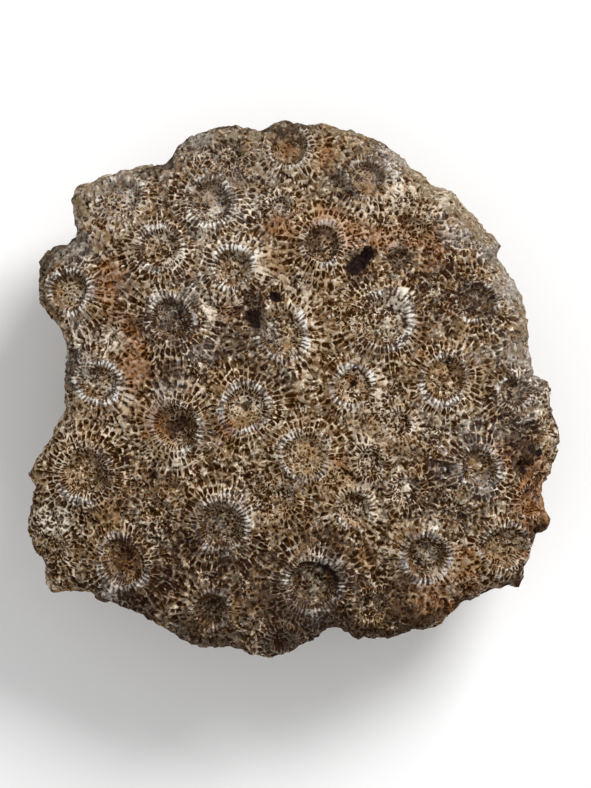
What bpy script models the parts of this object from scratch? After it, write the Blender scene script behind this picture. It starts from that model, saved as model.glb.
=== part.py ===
"""Petoskey stone: one loose piece of fossil colonial coral, lying on its back with its face up.

The gently domed face is packed with corallites. Each is a round bowl with a small boss in its middle
and a raised rim cut by radial ridges. The edge follows the lumps of the broken colony, the flanks
draw in below it, and the stone rests on a flat patch of its worn underside.
"""
import itertools
import math

import bmesh
import bpy
import numpy as np
from mathutils import Vector, geometry

# Driving dimensions, in millimetres unless a name says otherwise.
HEIGHT = 37.0
FACE_FALL = 6.0            # how much lower the dome is at the face's mean reach than at its middle
MEAN_REACH = 48.0
FOOT_SHARE = 0.75          # reach of the foot, as a share of the reach of the edge
FOOT_EVENNESS = 0.75       # how far the foot follows the evened out edge rather than the edge itself
EVENING_DEGREES = (-24, -18, -12, -6, 0, 6, 12, 18, 24)
FOOT_RISE = 1.6            # height of the foot's rounded edge above the resting plane
REST_SHARE = 0.84          # reach of the flat resting patch, as a share of the foot's reach
UNDER_RINGS = ((REST_SHARE, 2), (0.5, 8))  # reach of each flat ring of points, and foot points per point
WALL_BULGE = 2.1           # above 1 the flank stays upright below the edge and draws in near the foot
SWELL = 0.7                # height of the broad uneven swells of the whole surface
SWELL_SPAN = 13.0

# The broken edge of the colony seen from above, as x and y, anticlockwise from the right-hand side.
OUTLINE = (
    (42.7, 1.8), (42.7, 5.6), (42.2, 8.5), (42.7, 9.6), (42.2, 11.5), (41.6, 14.5), (41.4, 16.6),
    (40.2, 18.6), (39.1, 20.6), (37.5, 22.4), (36.8, 24.2), (37.6, 25.2), (37.6, 26.0), (36.5, 27.1),
    (34.9, 28.0), (34.3, 28.8), (33.0, 30.8), (31.8, 32.2), (30.2, 33.7), (29.8, 34.8), (28.8, 35.8),
    (27.0, 36.0), (25.2, 37.0), (24.7, 38.4), (22.0, 39.8), (20.9, 42.0), (19.0, 43.3), (17.2, 44.4),
    (15.8, 45.3), (13.6, 46.0), (11.0, 46.6), (7.8, 47.5), (4.8, 47.8), (1.2, 47.9), (-1.4, 48.6),
    (-3.3, 47.9), (-4.6, 47.0), (-5.7, 46.6), (-6.9, 46.6), (-8.0, 47.3), (-9.6, 47.5), (-12.9, 47.4),
    (-14.6, 47.1), (-16.9, 46.0), (-18.8, 45.1), (-20.6, 43.6), (-21.3, 42.3), (-22.4, 40.9),
    (-24.6, 40.4), (-26.8, 40.3), (-29.2, 39.6), (-31.5, 38.8), (-33.8, 38.2), (-35.6, 37.1),
    (-37.2, 37.0), (-38.9, 36.1), (-39.6, 34.2), (-39.7, 31.8), (-39.0, 30.0), (-38.6, 28.8),
    (-39.1, 26.8), (-40.7, 25.8), (-42.4, 26.0), (-44.2, 24.4), (-45.3, 21.0), (-45.7, 18.4),
    (-45.1, 15.4), (-44.2, 14.0), (-42.8, 11.8), (-41.2, 9.6), (-40.8, 8.0), (-40.6, 4.4),
    (-40.7, 0.4), (-40.3, -3.6), (-41.2, -5.4), (-42.5, -8.0), (-43.2, -10.4), (-45.0, -12.4),
    (-47.2, -15.2), (-46.2, -17.0), (-46.4, -19.4), (-46.8, -21.8), (-47.6, -24.2), (-48.0, -25.6),
    (-47.2, -27.2), (-46.6, -28.8), (-44.9, -30.3), (-44.7, -32.2), (-44.3, -35.0), (-43.6, -36.6),
    (-42.2, -36.7), (-40.0, -36.4), (-36.6, -37.0), (-35.4, -38.2), (-33.6, -38.8), (-31.2, -39.0),
    (-29.6, -39.4), (-27.6, -39.8), (-25.4, -41.4), (-22.6, -43.6), (-20.6, -44.8), (-18.6, -45.8),
    (-17.2, -47.0), (-15.8, -47.3), (-12.4, -47.0), (-10.6, -46.3), (-8.8, -47.1), (-6.6, -48.0),
    (-5.4, -48.4), (-3.8, -49.0), (-2.2, -48.0), (1.3, -46.2), (4.2, -44.6), (6.0, -42.9),
    (7.6, -42.2), (9.2, -42.6), (12.0, -44.8), (15.6, -45.3), (17.8, -45.0), (19.4, -43.8),
    (22.6, -42.6), (26.0, -42.6), (28.4, -40.8), (30.0, -38.6), (31.6, -37.5), (34.2, -37.3),
    (36.6, -36.1), (39.0, -35.5), (41.1, -35.5), (41.8, -33.8), (43.0, -30.6), (43.6, -27.8),
    (44.2, -25.8), (45.7, -25.0), (46.3, -23.6), (45.8, -21.4), (45.1, -19.0), (45.3, -17.6),
    (46.6, -16.6), (47.2, -15.6), (46.9, -13.6), (47.8, -11.3), (47.8, -9.2), (47.2, -7.2),
    (47.1, -5.3), (46.9, -2.6), (47.2, -0.8), (46.7, 0.9), (45.6, 1.8), (44.0, 2.7),
)

# Width of the rounded shoulder inside the edge, and how far the surface falls across it, by bearing.
SHOULDER_WIDTH = ((0, 7.0), (25, 9.0), (60, 7.5), (85, 4.5), (130, 4.0), (175, 2.6), (205, 3.4),
                  (240, 5.0), (285, 5.5), (320, 6.0), (340, 5.0))
SHOULDER_DROP = ((0, 9.0), (25, 8.5), (60, 8.0), (85, 6.5), (130, 5.5), (175, 6.5), (205, 6.0),
                 (240, 8.0), (285, 9.0), (320, 8.5), (340, 8.0))

# Corallites: x, y, rim radius, bowl depth, rim height and boss height. A negative boss is a pit.
CORALLITES = (
    (-0.4, 43.4, 4.0, 1.3, 0.8, 0.2), (13.5, 37.5, 3.8, 1.2, 0.8, 0.4), (-11.5, 41.8, 3.4, 0.9, 0.5, 0.2),
    (-14.5, 33.2, 4.4, 1.4, 1.0, 0.8), (-30.5, 34.4, 4.2, 1.3, 0.7, 0.3), (-2.0, 32.5, 2.3, 0.7, 0.5, 0.2),
    (-23.3, 25.1, 4.1, 0.9, 0.7, 0.2), (-10.4, 21.5, 3.8, 1.1, 0.9, 0.3), (5.5, 25.8, 3.8, 1.6, 0.7, -0.3),
    (21.8, 28.4, 2.8, 1.0, 0.5, 0.1), (19.1, 23.4, 2.6, 1.3, 0.4, 0.0), (-39.6, 17.5, 3.9, 1.1, 0.7, 0.6),
    (-21.3, 12.4, 4.3, 1.8, 1.0, 0.2), (-1.6, 9.8, 4.6, 1.0, 0.7, 0.4), (16.5, 12.2, 5.1, 1.0, 1.1, 0.5),
    (33.1, 15.5, 3.7, 1.6, 0.6, -0.2), (-34.4, 1.1, 3.9, 0.9, 0.7, 0.3), (-20.5, -6.7, 4.5, 2.0, 0.9, -0.3),
    (-8.2, -3.3, 4.3, 0.9, 0.7, -0.7), (10.9, 0.5, 3.7, 0.9, 0.7, -0.7), (27.3, 1.8, 4.4, 1.0, 0.7, 0.4),
    (40.0, -0.4, 3.2, 1.3, 0.6, 0.2), (42.4, -8.2, 3.0, 0.7, 0.7, 0.2), (2.5, -11.8, 4.5, 0.8, 0.7, 0.3),
    (-36.7, -15.1, 5.0, 1.3, 0.8, 0.2), (19.1, -6.4, 2.8, 0.7, 0.4, 0.2), (14.0, -13.1, 2.8, 1.0, 0.6, 0.2),
    (33.5, -14.0, 3.8, 1.2, 0.8, 0.3), (-23.6, -22.2, 3.0, 0.6, 0.3, 0.2), (-12.4, -24.2, 4.8, 1.6, 1.1, 0.6),
    (-1.8, -19.6, 3.0, 0.8, 0.3, 0.2), (11.2, -21.4, 3.4, 1.1, 0.6, 0.4), (20.5, -18.2, 3.0, 0.9, 0.5, 0.7),
    (43.5, -20.4, 3.0, 1.2, 0.5, 0.1), (29.1, -22.0, 2.8, 0.8, 0.3, 0.2), (-43.0, -28.4, 3.4, 0.8, 0.5, 0.2),
    (-30.0, -30.9, 4.6, 1.4, 1.0, 0.5), (24.0, -30.0, 4.3, 1.8, 1.0, 1.0), (38.2, -28.2, 4.3, 1.2, 0.8, 0.3),
    (3.8, -34.9, 5.1, 2.3, 1.0, 1.0), (-14.4, -39.5, 3.5, 1.8, 0.6, -0.4), (14.5, -39.0, 3.0, 1.0, 0.5, 0.2),
    (-1.4, -45.2, 3.0, 0.9, 0.6, 0.1),
)

# Where the parts of a corallite lie, as shares of its rim radius, and how uneven its rim is.
BOSS_REACH = 0.38
FLOOR_REACH = 0.50
CREST = 0.95
SKIRT_REACH = 1.75
WOBBLE_SEED = 300
WOBBLE_WAVES = (2, 3, 5)   # lobes, round a rim, by which it departs from a circle
WOBBLE_LEAST = 0.01        # least depth of a lobe, as a share of the rim's radius
WOBBLE_MOST = 0.14         # greatest depth of a lobe, divided by the number of lobes

# Hollows and chips in the face: x, y, length, width, bearing in degrees and depth.
HOLLOWS = (
    (12.2, 22.7, 5.2, 2.6, 38.0, 1.7),
    (-6.7, 12.9, 3.4, 3.0, 60.0, 1.3),
    (-3.2, 16.2, 2.4, 2.0, 0.0, 1.1),
    (41.0, -14.2, 3.4, 2.2, 10.0, 1.0),
    (44.5, -18.5, 13.0, 8.0, 80.0, 1.2),
)

HOLLOW_REACH = 1.5         # where a hollow runs out, as a share of its half length and half width
HOLLOW_LEVEL = 0.5         # hollows fade in above this share of the height
HOLLOW_FADE = 6.0

# The flanks: upright flutes where corallites stand side by side, crossed by low growth steps.
FLUTE_HEIGHT = 1.0
FLUTE_SPAN = 7.5
FLUTE_STRETCH = 0.4        # below 1 the flutes run up and down
STEP_HEIGHT = 0.45
STEP_PITCH = 8.0
FLANK_TOP = 0.8            # height of the flank's relief, as a share of the whole height
FLANK_TOP_FADE = 0.2
FLANK_FOOT = 0.03
FLANK_FOOT_FADE = 0.12

# How finely the relief is cut.
RIDGES_PER_MM = 0.5        # ridges along each millimetre of a rim
RIDGE_CUT = 0.3            # how far the ridges stand above, and the grooves lie below, their mean
LEAST_RIDGES = 8
RINGS = (                  # share of the rim's radius, points per ridge, ridge cut and lift
    (0.30, 0.5, 0.0, 0.0), (0.60, 1, 0.0, 0.08), (0.83, 2, RIDGE_CUT, 0.0), (1.08, 2, RIDGE_CUT, 0.0),
    (1.48, 1, 0.0, 0.15),
)
RIM_CLAIM = 0.8            # how far a wide rim takes ground from a narrow one, in rim radii
INNER_GAP = 0.2            # closest that points inside a rim come to each other
RIDGE_GAP = 0.5            # the same for the points of the ridges outside it
FILL_SPACING = 2.9         # spacing of points between the corallites
FLANK_SPACING = 3.7
FLANK_START = 0.64         # share of the way from the middle of the face to the foot
FLANK_END = 0.96
FLANK_CLEARANCE = 0.6 * FLANK_SPACING
JITTER = 0.22              # how far the filling departs from even rows, in spacings
ROW_HEIGHT = 0.87          # distance between the rows of the filling, in spacings
FILL_REACH = 90.0
CLEARANCE = 1.3            # closest that a point between the corallites comes to one of theirs
RING_GAP = 0.9             # closest that the outer rings of two corallites come to each other
CELL = 4.0                 # size of the squares that points are looked up in
FOOT_POINTS = 92
SKETCH_BEARINGS = 720      # resolution of the worked-out form
SKETCH_STEPS = 240
PROFILE_STEPS = 80
NORMAL_STEP = 0.3          # half the span over which the slope of the form is measured
MM = 0.001

STONE_COLOUR = (0.19, 0.125, 0.072, 1.0)
STONE_ROUGHNESS = 0.85


def ease(share):
    """A share held between 0 and 1, with a soft start and end."""
    share = np.clip(share, 0.0, 1.0)
    return share * share * (3.0 - 2.0 * share)


def around(bearing, stops):
    """Value at a bearing in radians, eased between stops given as (degrees, value)."""
    degrees = np.degrees(bearing) % 360.0
    places = np.array([stop[0] for stop in stops] + [stops[0][0] + 360.0])
    values = np.array([stop[1] for stop in stops] + [stops[0][1]])
    index = np.searchsorted(places, degrees, side="right") - 1
    share = ease((degrees - places[index]) / (places[index + 1] - places[index]))
    return values[index] * (1.0 - share) + values[index + 1] * share


def edge_reach(bearing):
    """Distance from the middle to the colony's broken edge at a bearing."""
    outline = np.array(OUTLINE)
    bearings = np.arctan2(outline[:, 1], outline[:, 0])
    order = np.argsort(bearings)
    reaches = np.hypot(outline[:, 0], outline[:, 1])
    return np.interp(bearing, bearings[order], reaches[order], period=2.0 * math.pi)


def smoothed_reach(bearing):
    """The edge's reach with its lumps evened out over about 50 degrees."""
    offsets = np.radians(EVENING_DEGREES)
    return np.mean([edge_reach(bearing + offset) for offset in offsets], axis=0)


def soft_noise(points, span, seed):
    """Smooth random values from -1 to 1 that change over about one span."""
    table = np.random.default_rng(seed).uniform(-1.0, 1.0, 4096)
    scaled = points / span
    corner = np.floor(scaled).astype(np.int64)
    share = ease(scaled - corner)
    total = np.zeros(len(points))
    for step in itertools.product((0, 1), repeat=3):
        spot = corner + np.array(step)
        key = (spot[:, 0] * 73856093 ^ spot[:, 1] * 19349663 ^ spot[:, 2] * 83492791) & 4095
        weight = np.prod(np.where(np.array(step) == 1, share, 1.0 - share), axis=1)
        total += table[key] * weight
    return total


def face_height(radius):
    """Height of the domed face at a distance from its middle."""
    return HEIGHT - FACE_FALL * (radius / MEAN_REACH) ** 2


class Form:
    """The stone's upper side unrolled from the middle of the face down to its foot.

    A place on it is (u, v) in millimetres. Its bearing is that of the place on the stone, and its
    distance from (0, 0) is the way over the face, the shoulder and the flank.
    """

    def __init__(self):
        bearing = np.linspace(-math.pi, math.pi, SKETCH_BEARINGS + 1)
        reach = edge_reach(bearing)[:, None]
        width = around(bearing, SHOULDER_WIDTH)[:, None]
        drop = around(bearing, SHOULDER_DROP)[:, None]
        evened = FOOT_EVENNESS * smoothed_reach(bearing) + (1.0 - FOOT_EVENNESS) * edge_reach(bearing)
        foot = FOOT_SHARE * evened[:, None]
        share = np.linspace(0.0, 1.0, PROFILE_STEPS)[None, :]
        face_radius = (reach - width) * share
        turn = 0.5 * math.pi * share[:, 1:]
        brow = face_height(reach - width)
        shoulder_radius = reach - width + width * np.sin(turn)
        shoulder_height = brow - drop * (1.0 - np.cos(turn))
        fall = share[:, 1:]
        flank_radius = reach - (reach - foot) * fall ** WALL_BULGE
        flank_height = (brow - drop) * (1.0 - fall) + FOOT_RISE * fall
        radius = np.hstack((face_radius, shoulder_radius, flank_radius))
        height = np.hstack((face_height(face_radius), shoulder_height, flank_height))
        way = np.hypot(np.diff(radius, axis=1), np.diff(height, axis=1))
        way = np.hstack((np.zeros((len(way), 1)), np.cumsum(way, axis=1)))
        steps = np.linspace(0.0, 1.0, SKETCH_STEPS + 1)
        self.length = way[:, -1]
        self.radius = np.array([np.interp(steps * w[-1], w, r) for w, r in zip(way, radius)])
        self.height = np.array([np.interp(steps * w[-1], w, h) for w, h in zip(way, height)])

    def full_length(self, bearing):
        """The way from the middle of the face to the foot at a bearing."""
        column = (bearing + math.pi) / (2.0 * math.pi) * SKETCH_BEARINGS
        return np.interp(column, np.arange(SKETCH_BEARINGS + 1), self.length)

    def place(self, flat):
        """Positions on the stone, before its relief, of places (u, v)."""
        bearing = np.arctan2(flat[:, 1], flat[:, 0])
        column = (bearing + math.pi) / (2.0 * math.pi) * SKETCH_BEARINGS
        row = np.hypot(flat[:, 0], flat[:, 1]) / self.full_length(bearing) * SKETCH_STEPS
        left = np.clip(column.astype(int), 0, SKETCH_BEARINGS - 1)
        low = np.clip(row.astype(int), 0, SKETCH_STEPS - 1)
        across = column - left
        along = np.minimum(row - low, 1.0)
        radius = self.blend(self.radius, left, low, across, along)
        height = self.blend(self.height, left, low, across, along)
        return np.column_stack((radius * np.cos(bearing), radius * np.sin(bearing), height))

    @staticmethod
    def blend(table, left, low, across, along):
        """Value of a table between its four nearest entries."""
        near = table[left, low] * (1.0 - along) + table[left, low + 1] * along
        far = table[left + 1, low] * (1.0 - along) + table[left + 1, low + 1] * along
        return near * (1.0 - across) + far * across

    def normal(self, flat):
        """Outward unit directions at places (u, v)."""
        along_u = self.place(flat + (NORMAL_STEP, 0.0)) - self.place(flat - (NORMAL_STEP, 0.0))
        along_v = self.place(flat + (0.0, NORMAL_STEP)) - self.place(flat - (0.0, NORMAL_STEP))
        out = np.cross(along_u, along_v)
        return out / np.linalg.norm(out, axis=1)[:, None]

    def unroll(self, x, y):
        """Place (u, v) of the point of the face above (x, y)."""
        bearing = math.atan2(y, x)
        column = (bearing + math.pi) / (2.0 * math.pi) * SKETCH_BEARINGS
        left = int(column)
        radius = self.radius[left]
        widest = int(np.argmax(radius))
        steps = np.linspace(0.0, 1.0, SKETCH_STEPS + 1)
        way = np.interp(math.hypot(x, y), radius[:widest], steps[:widest]) * self.length[left]
        return np.array((way * math.cos(bearing), way * math.sin(bearing)))


def rim_wobble(index, bearing):
    """How far a corallite's rim departs from a circle at a bearing, as a share of its radius."""
    rng = np.random.default_rng(WOBBLE_SEED + index)
    total = 0.0
    for waves in WOBBLE_WAVES:
        depth = rng.uniform(WOBBLE_LEAST, WOBBLE_MOST / waves)
        total = total + depth * np.cos(waves * bearing + rng.uniform(0.0, 2.0 * math.pi))
    return total


def rim_share(points, centre, index):
    """Distance of points from a corallite's middle, as a share of its rim radius in their direction."""
    away = points - centre
    rim = CORALLITES[index][2] * (1.0 + rim_wobble(index, np.arctan2(away[:, 1], away[:, 0])))
    return np.linalg.norm(away, axis=1) / rim


def corallite_profile(share, depth, lip, boss):
    """Height across a corallite, where share is the distance from its middle over its rim radius."""
    rise = ease((share - FLOOR_REACH) / (CREST - FLOOR_REACH))
    bowl = -depth + (depth + lip) * rise + boss * ease(1.0 - share / BOSS_REACH)
    skirt = lip * ease((SKIRT_REACH - share) / (SKIRT_REACH - CREST))
    return np.where(share < CREST, bowl, skirt)


def flank_relief(points):
    """Flutes and growth steps of the flanks, fading out towards the face and the foot."""
    rise = points[:, 2] / HEIGHT
    amount = ease((FLANK_TOP - rise) / FLANK_TOP_FADE) * ease((rise - FLANK_FOOT) / FLANK_FOOT_FADE)
    flutes = soft_noise(points * (1.0, 1.0, FLUTE_STRETCH), FLUTE_SPAN, 11)
    wander = soft_noise(points, 2.0 * STEP_PITCH, 5)
    steps = np.sin(2.0 * math.pi * (points[:, 2] / STEP_PITCH + wander))
    return amount * (FLUTE_HEIGHT * flutes + STEP_HEIGHT * steps)


def relief(points, centres):
    """How far the surface stands out from the plain form: corallites, swells, hollows and chips."""
    inside = np.zeros(len(points))
    within = np.zeros(len(points), dtype=bool)
    outside = np.zeros(len(points))
    for index, (_, _, _, depth, lip, boss) in enumerate(CORALLITES):
        share = rim_share(points, centres[index], index)
        height = corallite_profile(share, depth, lip, boss)
        bowl = share < CREST
        inside[bowl] = height[bowl]
        within |= bowl
        outside = np.maximum(outside, np.where(bowl, 0.0, height))
    total = np.where(within, inside, outside)
    total += SWELL * soft_noise(points, SWELL_SPAN, 3)
    total += flank_relief(points)
    for x, y, length, width, bearing, depth in HOLLOWS:
        turn = math.radians(bearing)
        along = (points[:, 0] - x) * math.cos(turn) + (points[:, 1] - y) * math.sin(turn)
        across = (points[:, 1] - y) * math.cos(turn) - (points[:, 0] - x) * math.sin(turn)
        reach = np.hypot(along / (0.5 * length), across / (0.5 * width))
        upper = ease(HOLLOW_FADE * (points[:, 2] / HEIGHT - HOLLOW_LEVEL))
        total -= depth * ease(HOLLOW_REACH - reach) * upper
    return total


class Ground:
    """The places (u, v) chosen so far, with the height that each adds to the relief."""

    def __init__(self):
        self.places = []
        self.extras = []
        self.squares = {}

    def add(self, place, extra=0.0):
        self.places.append(place)
        self.extras.append(extra)
        self.squares.setdefault(self.square(place), []).append(place)

    def clear(self, place, gap):
        """Whether nothing chosen so far comes closer than a gap."""
        column, row = self.square(place)
        near = itertools.product((column - 1, column, column + 1), (row - 1, row, row + 1))
        spots = [spot for square in near for spot in self.squares.get(square, ())]
        return all(math.hypot(place[0] - spot[0], place[1] - spot[1]) > gap for spot in spots)

    @staticmethod
    def square(place):
        return int(place[0] // CELL), int(place[1] // CELL)


def add_rosette(ground, form, index, centres):
    """Add the points of one corallite that lie nearer to it than to its neighbours."""
    x, y, rim = CORALLITES[index][:3]
    rims = np.array([corallite[2] for corallite in CORALLITES])
    middle = form.unroll(x, y)
    bearing = math.atan2(y, x)
    outward = np.array((math.cos(bearing), math.sin(bearing)))
    sideways = np.array((-outward[1], outward[0]))
    stretch = math.hypot(*middle) / math.hypot(x, y)
    ridges = max(LEAST_RIDGES, 2 * round(math.pi * rim * RIDGES_PER_MM))
    ground.add(middle)
    for share, per_ridge, cut, lift in RINGS:
        count = int(ridges * per_ridge)
        turns = 2.0 * math.pi * np.arange(count) / count
        offsets = np.outer(np.cos(turns), outward) + np.outer(np.sin(turns), sideways) * stretch
        reach = share * rim * (1.0 + rim_wobble(index, turns + bearing))
        places = middle + offsets * reach[:, None]
        distance = np.linalg.norm(form.place(places)[:, None, :] - centres[None, :, :], axis=2)
        nearest = np.argmin(distance - RIM_CLAIM * rims, axis=1)
        gap = INNER_GAP if share < CREST else RING_GAP if cut == 0.0 else RIDGE_GAP
        for number, place in enumerate(places):
            if share < CREST or nearest[number] == index:
                if ground.clear(place, gap):
                    ground.add(place, lift + (cut if number % 2 == 0 else -cut))


def add_filling(ground, form):
    """Add places between the corallites and down the flanks."""
    rng = np.random.default_rng(17)
    zones = (
        (FILL_SPACING, 0.0, FLANK_START, CLEARANCE),
        (FLANK_SPACING, FLANK_START, FLANK_END, FLANK_CLEARANCE),
    )
    for spacing, low, high, gap in zones:
        count = int(FILL_REACH / spacing)
        for row, column in itertools.product(range(-count, count + 1), repeat=2):
            jitter = rng.uniform(-JITTER, JITTER, 2) * spacing
            place = np.array((column + 0.5 * (row % 2), row * ROW_HEIGHT)) * spacing + jitter
            bearing = math.atan2(place[1], place[0])
            share = math.hypot(place[0], place[1]) / form.full_length(bearing)
            if low <= share < high and ground.clear(place, gap):
                ground.add(place)


def triangulate(places, border_count):
    """Triangles over places, inside the border that the first of them make."""
    coordinates = [Vector(place) for place in places]
    border = list(range(border_count))
    result = geometry.delaunay_2d_cdt(coordinates, [], [border], 1, 1e-6)
    origins = result[3]
    return [[origins[corner][0] for corner in face] for face in result[2]]


def upper_sheet(form):
    """Positions and triangles of the face and flanks. The first points are the foot's edge."""
    centres = form.place(np.array([form.unroll(*corallite[:2]) for corallite in CORALLITES]))
    ground = Ground()
    for turn in np.linspace(-math.pi, math.pi, FOOT_POINTS, endpoint=False):
        ground.add(np.array((math.cos(turn), math.sin(turn))) * form.full_length(turn))
    for index in range(len(CORALLITES)):
        add_rosette(ground, form, index, centres)
    add_filling(ground, form)
    flat = np.array(ground.places)
    plain = form.place(flat)
    height = relief(plain, centres) + np.array(ground.extras)
    height[:FOOT_POINTS] = 0.0
    points = plain + form.normal(flat) * height[:, None]
    return points, triangulate(flat, FOOT_POINTS)


def underside(foot):
    """Extra positions and the triangles that close the stone below its foot."""
    places = [foot[:, :2]]
    heights = [foot[:, 2]]
    for share, step in UNDER_RINGS:
        places.append(foot[::step, :2] * share)
        heights.append(np.zeros(len(places[-1])))
    flat = np.vstack(places)
    points = np.column_stack((flat, np.concatenate(heights)))
    return points[len(foot):], triangulate(flat, len(foot))


def build_stone():
    """The stone's closed mesh, in metres, standing over the origin."""
    form = Form()
    upper, upper_faces = upper_sheet(form)
    lower, lower_faces = underside(upper[:FOOT_POINTS])
    points = np.vstack((upper, lower))
    shift = len(upper) - FOOT_POINTS
    faces = list(upper_faces)
    for face in lower_faces:
        faces.append([corner if corner < FOOT_POINTS else corner + shift for corner in reversed(face)])
    middle = 0.5 * (points.min(axis=0) + points.max(axis=0))
    points -= (middle[0], middle[1], points[:, 2].min())
    mesh = bpy.data.meshes.new("petoskey_stone")
    mesh.from_pydata((points * MM).tolist(), [], faces)
    mesh.validate()
    work = bmesh.new()
    work.from_mesh(mesh)
    bmesh.ops.recalc_face_normals(work, faces=work.faces[:])
    work.to_mesh(mesh)
    work.free()
    return mesh


def stone_material():
    """Dull weathered limestone, grey brown."""
    material = bpy.data.materials.new("weathered_coral_limestone")
    material.use_nodes = True
    shader = material.node_tree.nodes["Principled BSDF"]
    shader.inputs["Base Color"].default_value = STONE_COLOUR
    shader.inputs["Roughness"].default_value = STONE_ROUGHNESS
    shader.inputs["Metallic"].default_value = 0.0
    return material


def main():
    for old in list(bpy.data.objects):
        bpy.data.objects.remove(old, do_unlink=True)
    collection = bpy.data.collections.new("petoskey_stone")
    bpy.context.scene.collection.children.link(collection)
    stone = bpy.data.objects.new("petoskey_stone", build_stone())
    stone.data.materials.append(stone_material())
    collection.objects.link(stone)


main()
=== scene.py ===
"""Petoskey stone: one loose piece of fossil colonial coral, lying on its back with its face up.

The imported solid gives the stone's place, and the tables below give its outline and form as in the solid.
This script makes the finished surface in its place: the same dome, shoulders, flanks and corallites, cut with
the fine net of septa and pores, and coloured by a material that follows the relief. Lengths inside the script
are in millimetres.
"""

import itertools
import math

import bpy
import numpy as np
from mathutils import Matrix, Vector, geometry


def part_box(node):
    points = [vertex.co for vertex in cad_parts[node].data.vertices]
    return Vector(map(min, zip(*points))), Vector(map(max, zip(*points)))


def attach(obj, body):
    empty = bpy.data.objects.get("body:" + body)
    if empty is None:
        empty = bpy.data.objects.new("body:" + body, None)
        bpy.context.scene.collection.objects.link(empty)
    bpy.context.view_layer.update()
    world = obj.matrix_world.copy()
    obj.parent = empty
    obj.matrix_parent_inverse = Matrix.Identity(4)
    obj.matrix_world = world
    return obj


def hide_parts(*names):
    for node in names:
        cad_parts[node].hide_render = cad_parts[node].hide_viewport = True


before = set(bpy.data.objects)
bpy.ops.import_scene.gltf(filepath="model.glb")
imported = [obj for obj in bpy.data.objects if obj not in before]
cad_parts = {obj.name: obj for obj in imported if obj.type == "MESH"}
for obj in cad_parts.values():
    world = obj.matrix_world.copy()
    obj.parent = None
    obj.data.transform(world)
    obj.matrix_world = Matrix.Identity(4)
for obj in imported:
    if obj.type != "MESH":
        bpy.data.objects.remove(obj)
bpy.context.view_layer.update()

bl_info = {
    "name": "Petoskey stone",
    "version": (1, 0, 0),
    "blender": (4, 5, 0),
    "location": "View3D > Sidebar > Petoskey stone",
    "description": "Builds a fossil coral stone and a plain stage for it",
    "category": "Object",
}

MM = 0.001
NODE = "petoskey_stone"

# The photograph's frame.
IMAGE_HEIGHT = 788         # pixels
PIXELS_PER_MM = 5.5        # at the level of the stone's widest edge
EDGE_LEVEL = 23.0
VIEW_X = 0.1               # the place on the stone that lies in the middle of the picture
VIEW_Y = -0.7

# The form of the stone, as in the solid.
HEIGHT = 37.0
FACE_FALL = 6.0            # how much lower the dome is at the face's mean reach than at its middle
MEAN_REACH = 48.0
FOOT_SHARE = 0.75          # reach of the foot, as a share of the reach of the edge
FOOT_EVENNESS = 0.75       # how far the foot follows the evened out edge rather than the edge itself
EVENING_DEGREES = (-24, -18, -12, -6, 0, 6, 12, 18, 24)
FOOT_RISE = 1.6            # height of the foot's rounded edge above the resting plane
REST_SHARE = 0.84          # reach of the flat resting patch, as a share of the foot's reach
WALL_BULGE = 2.1           # above 1 the flank stays upright below the edge and draws in near the foot
SWELL = 0.7                # height of the broad uneven swells of the whole surface
SWELL_SPAN = 13.0
SWELL_SEED = 3

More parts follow.
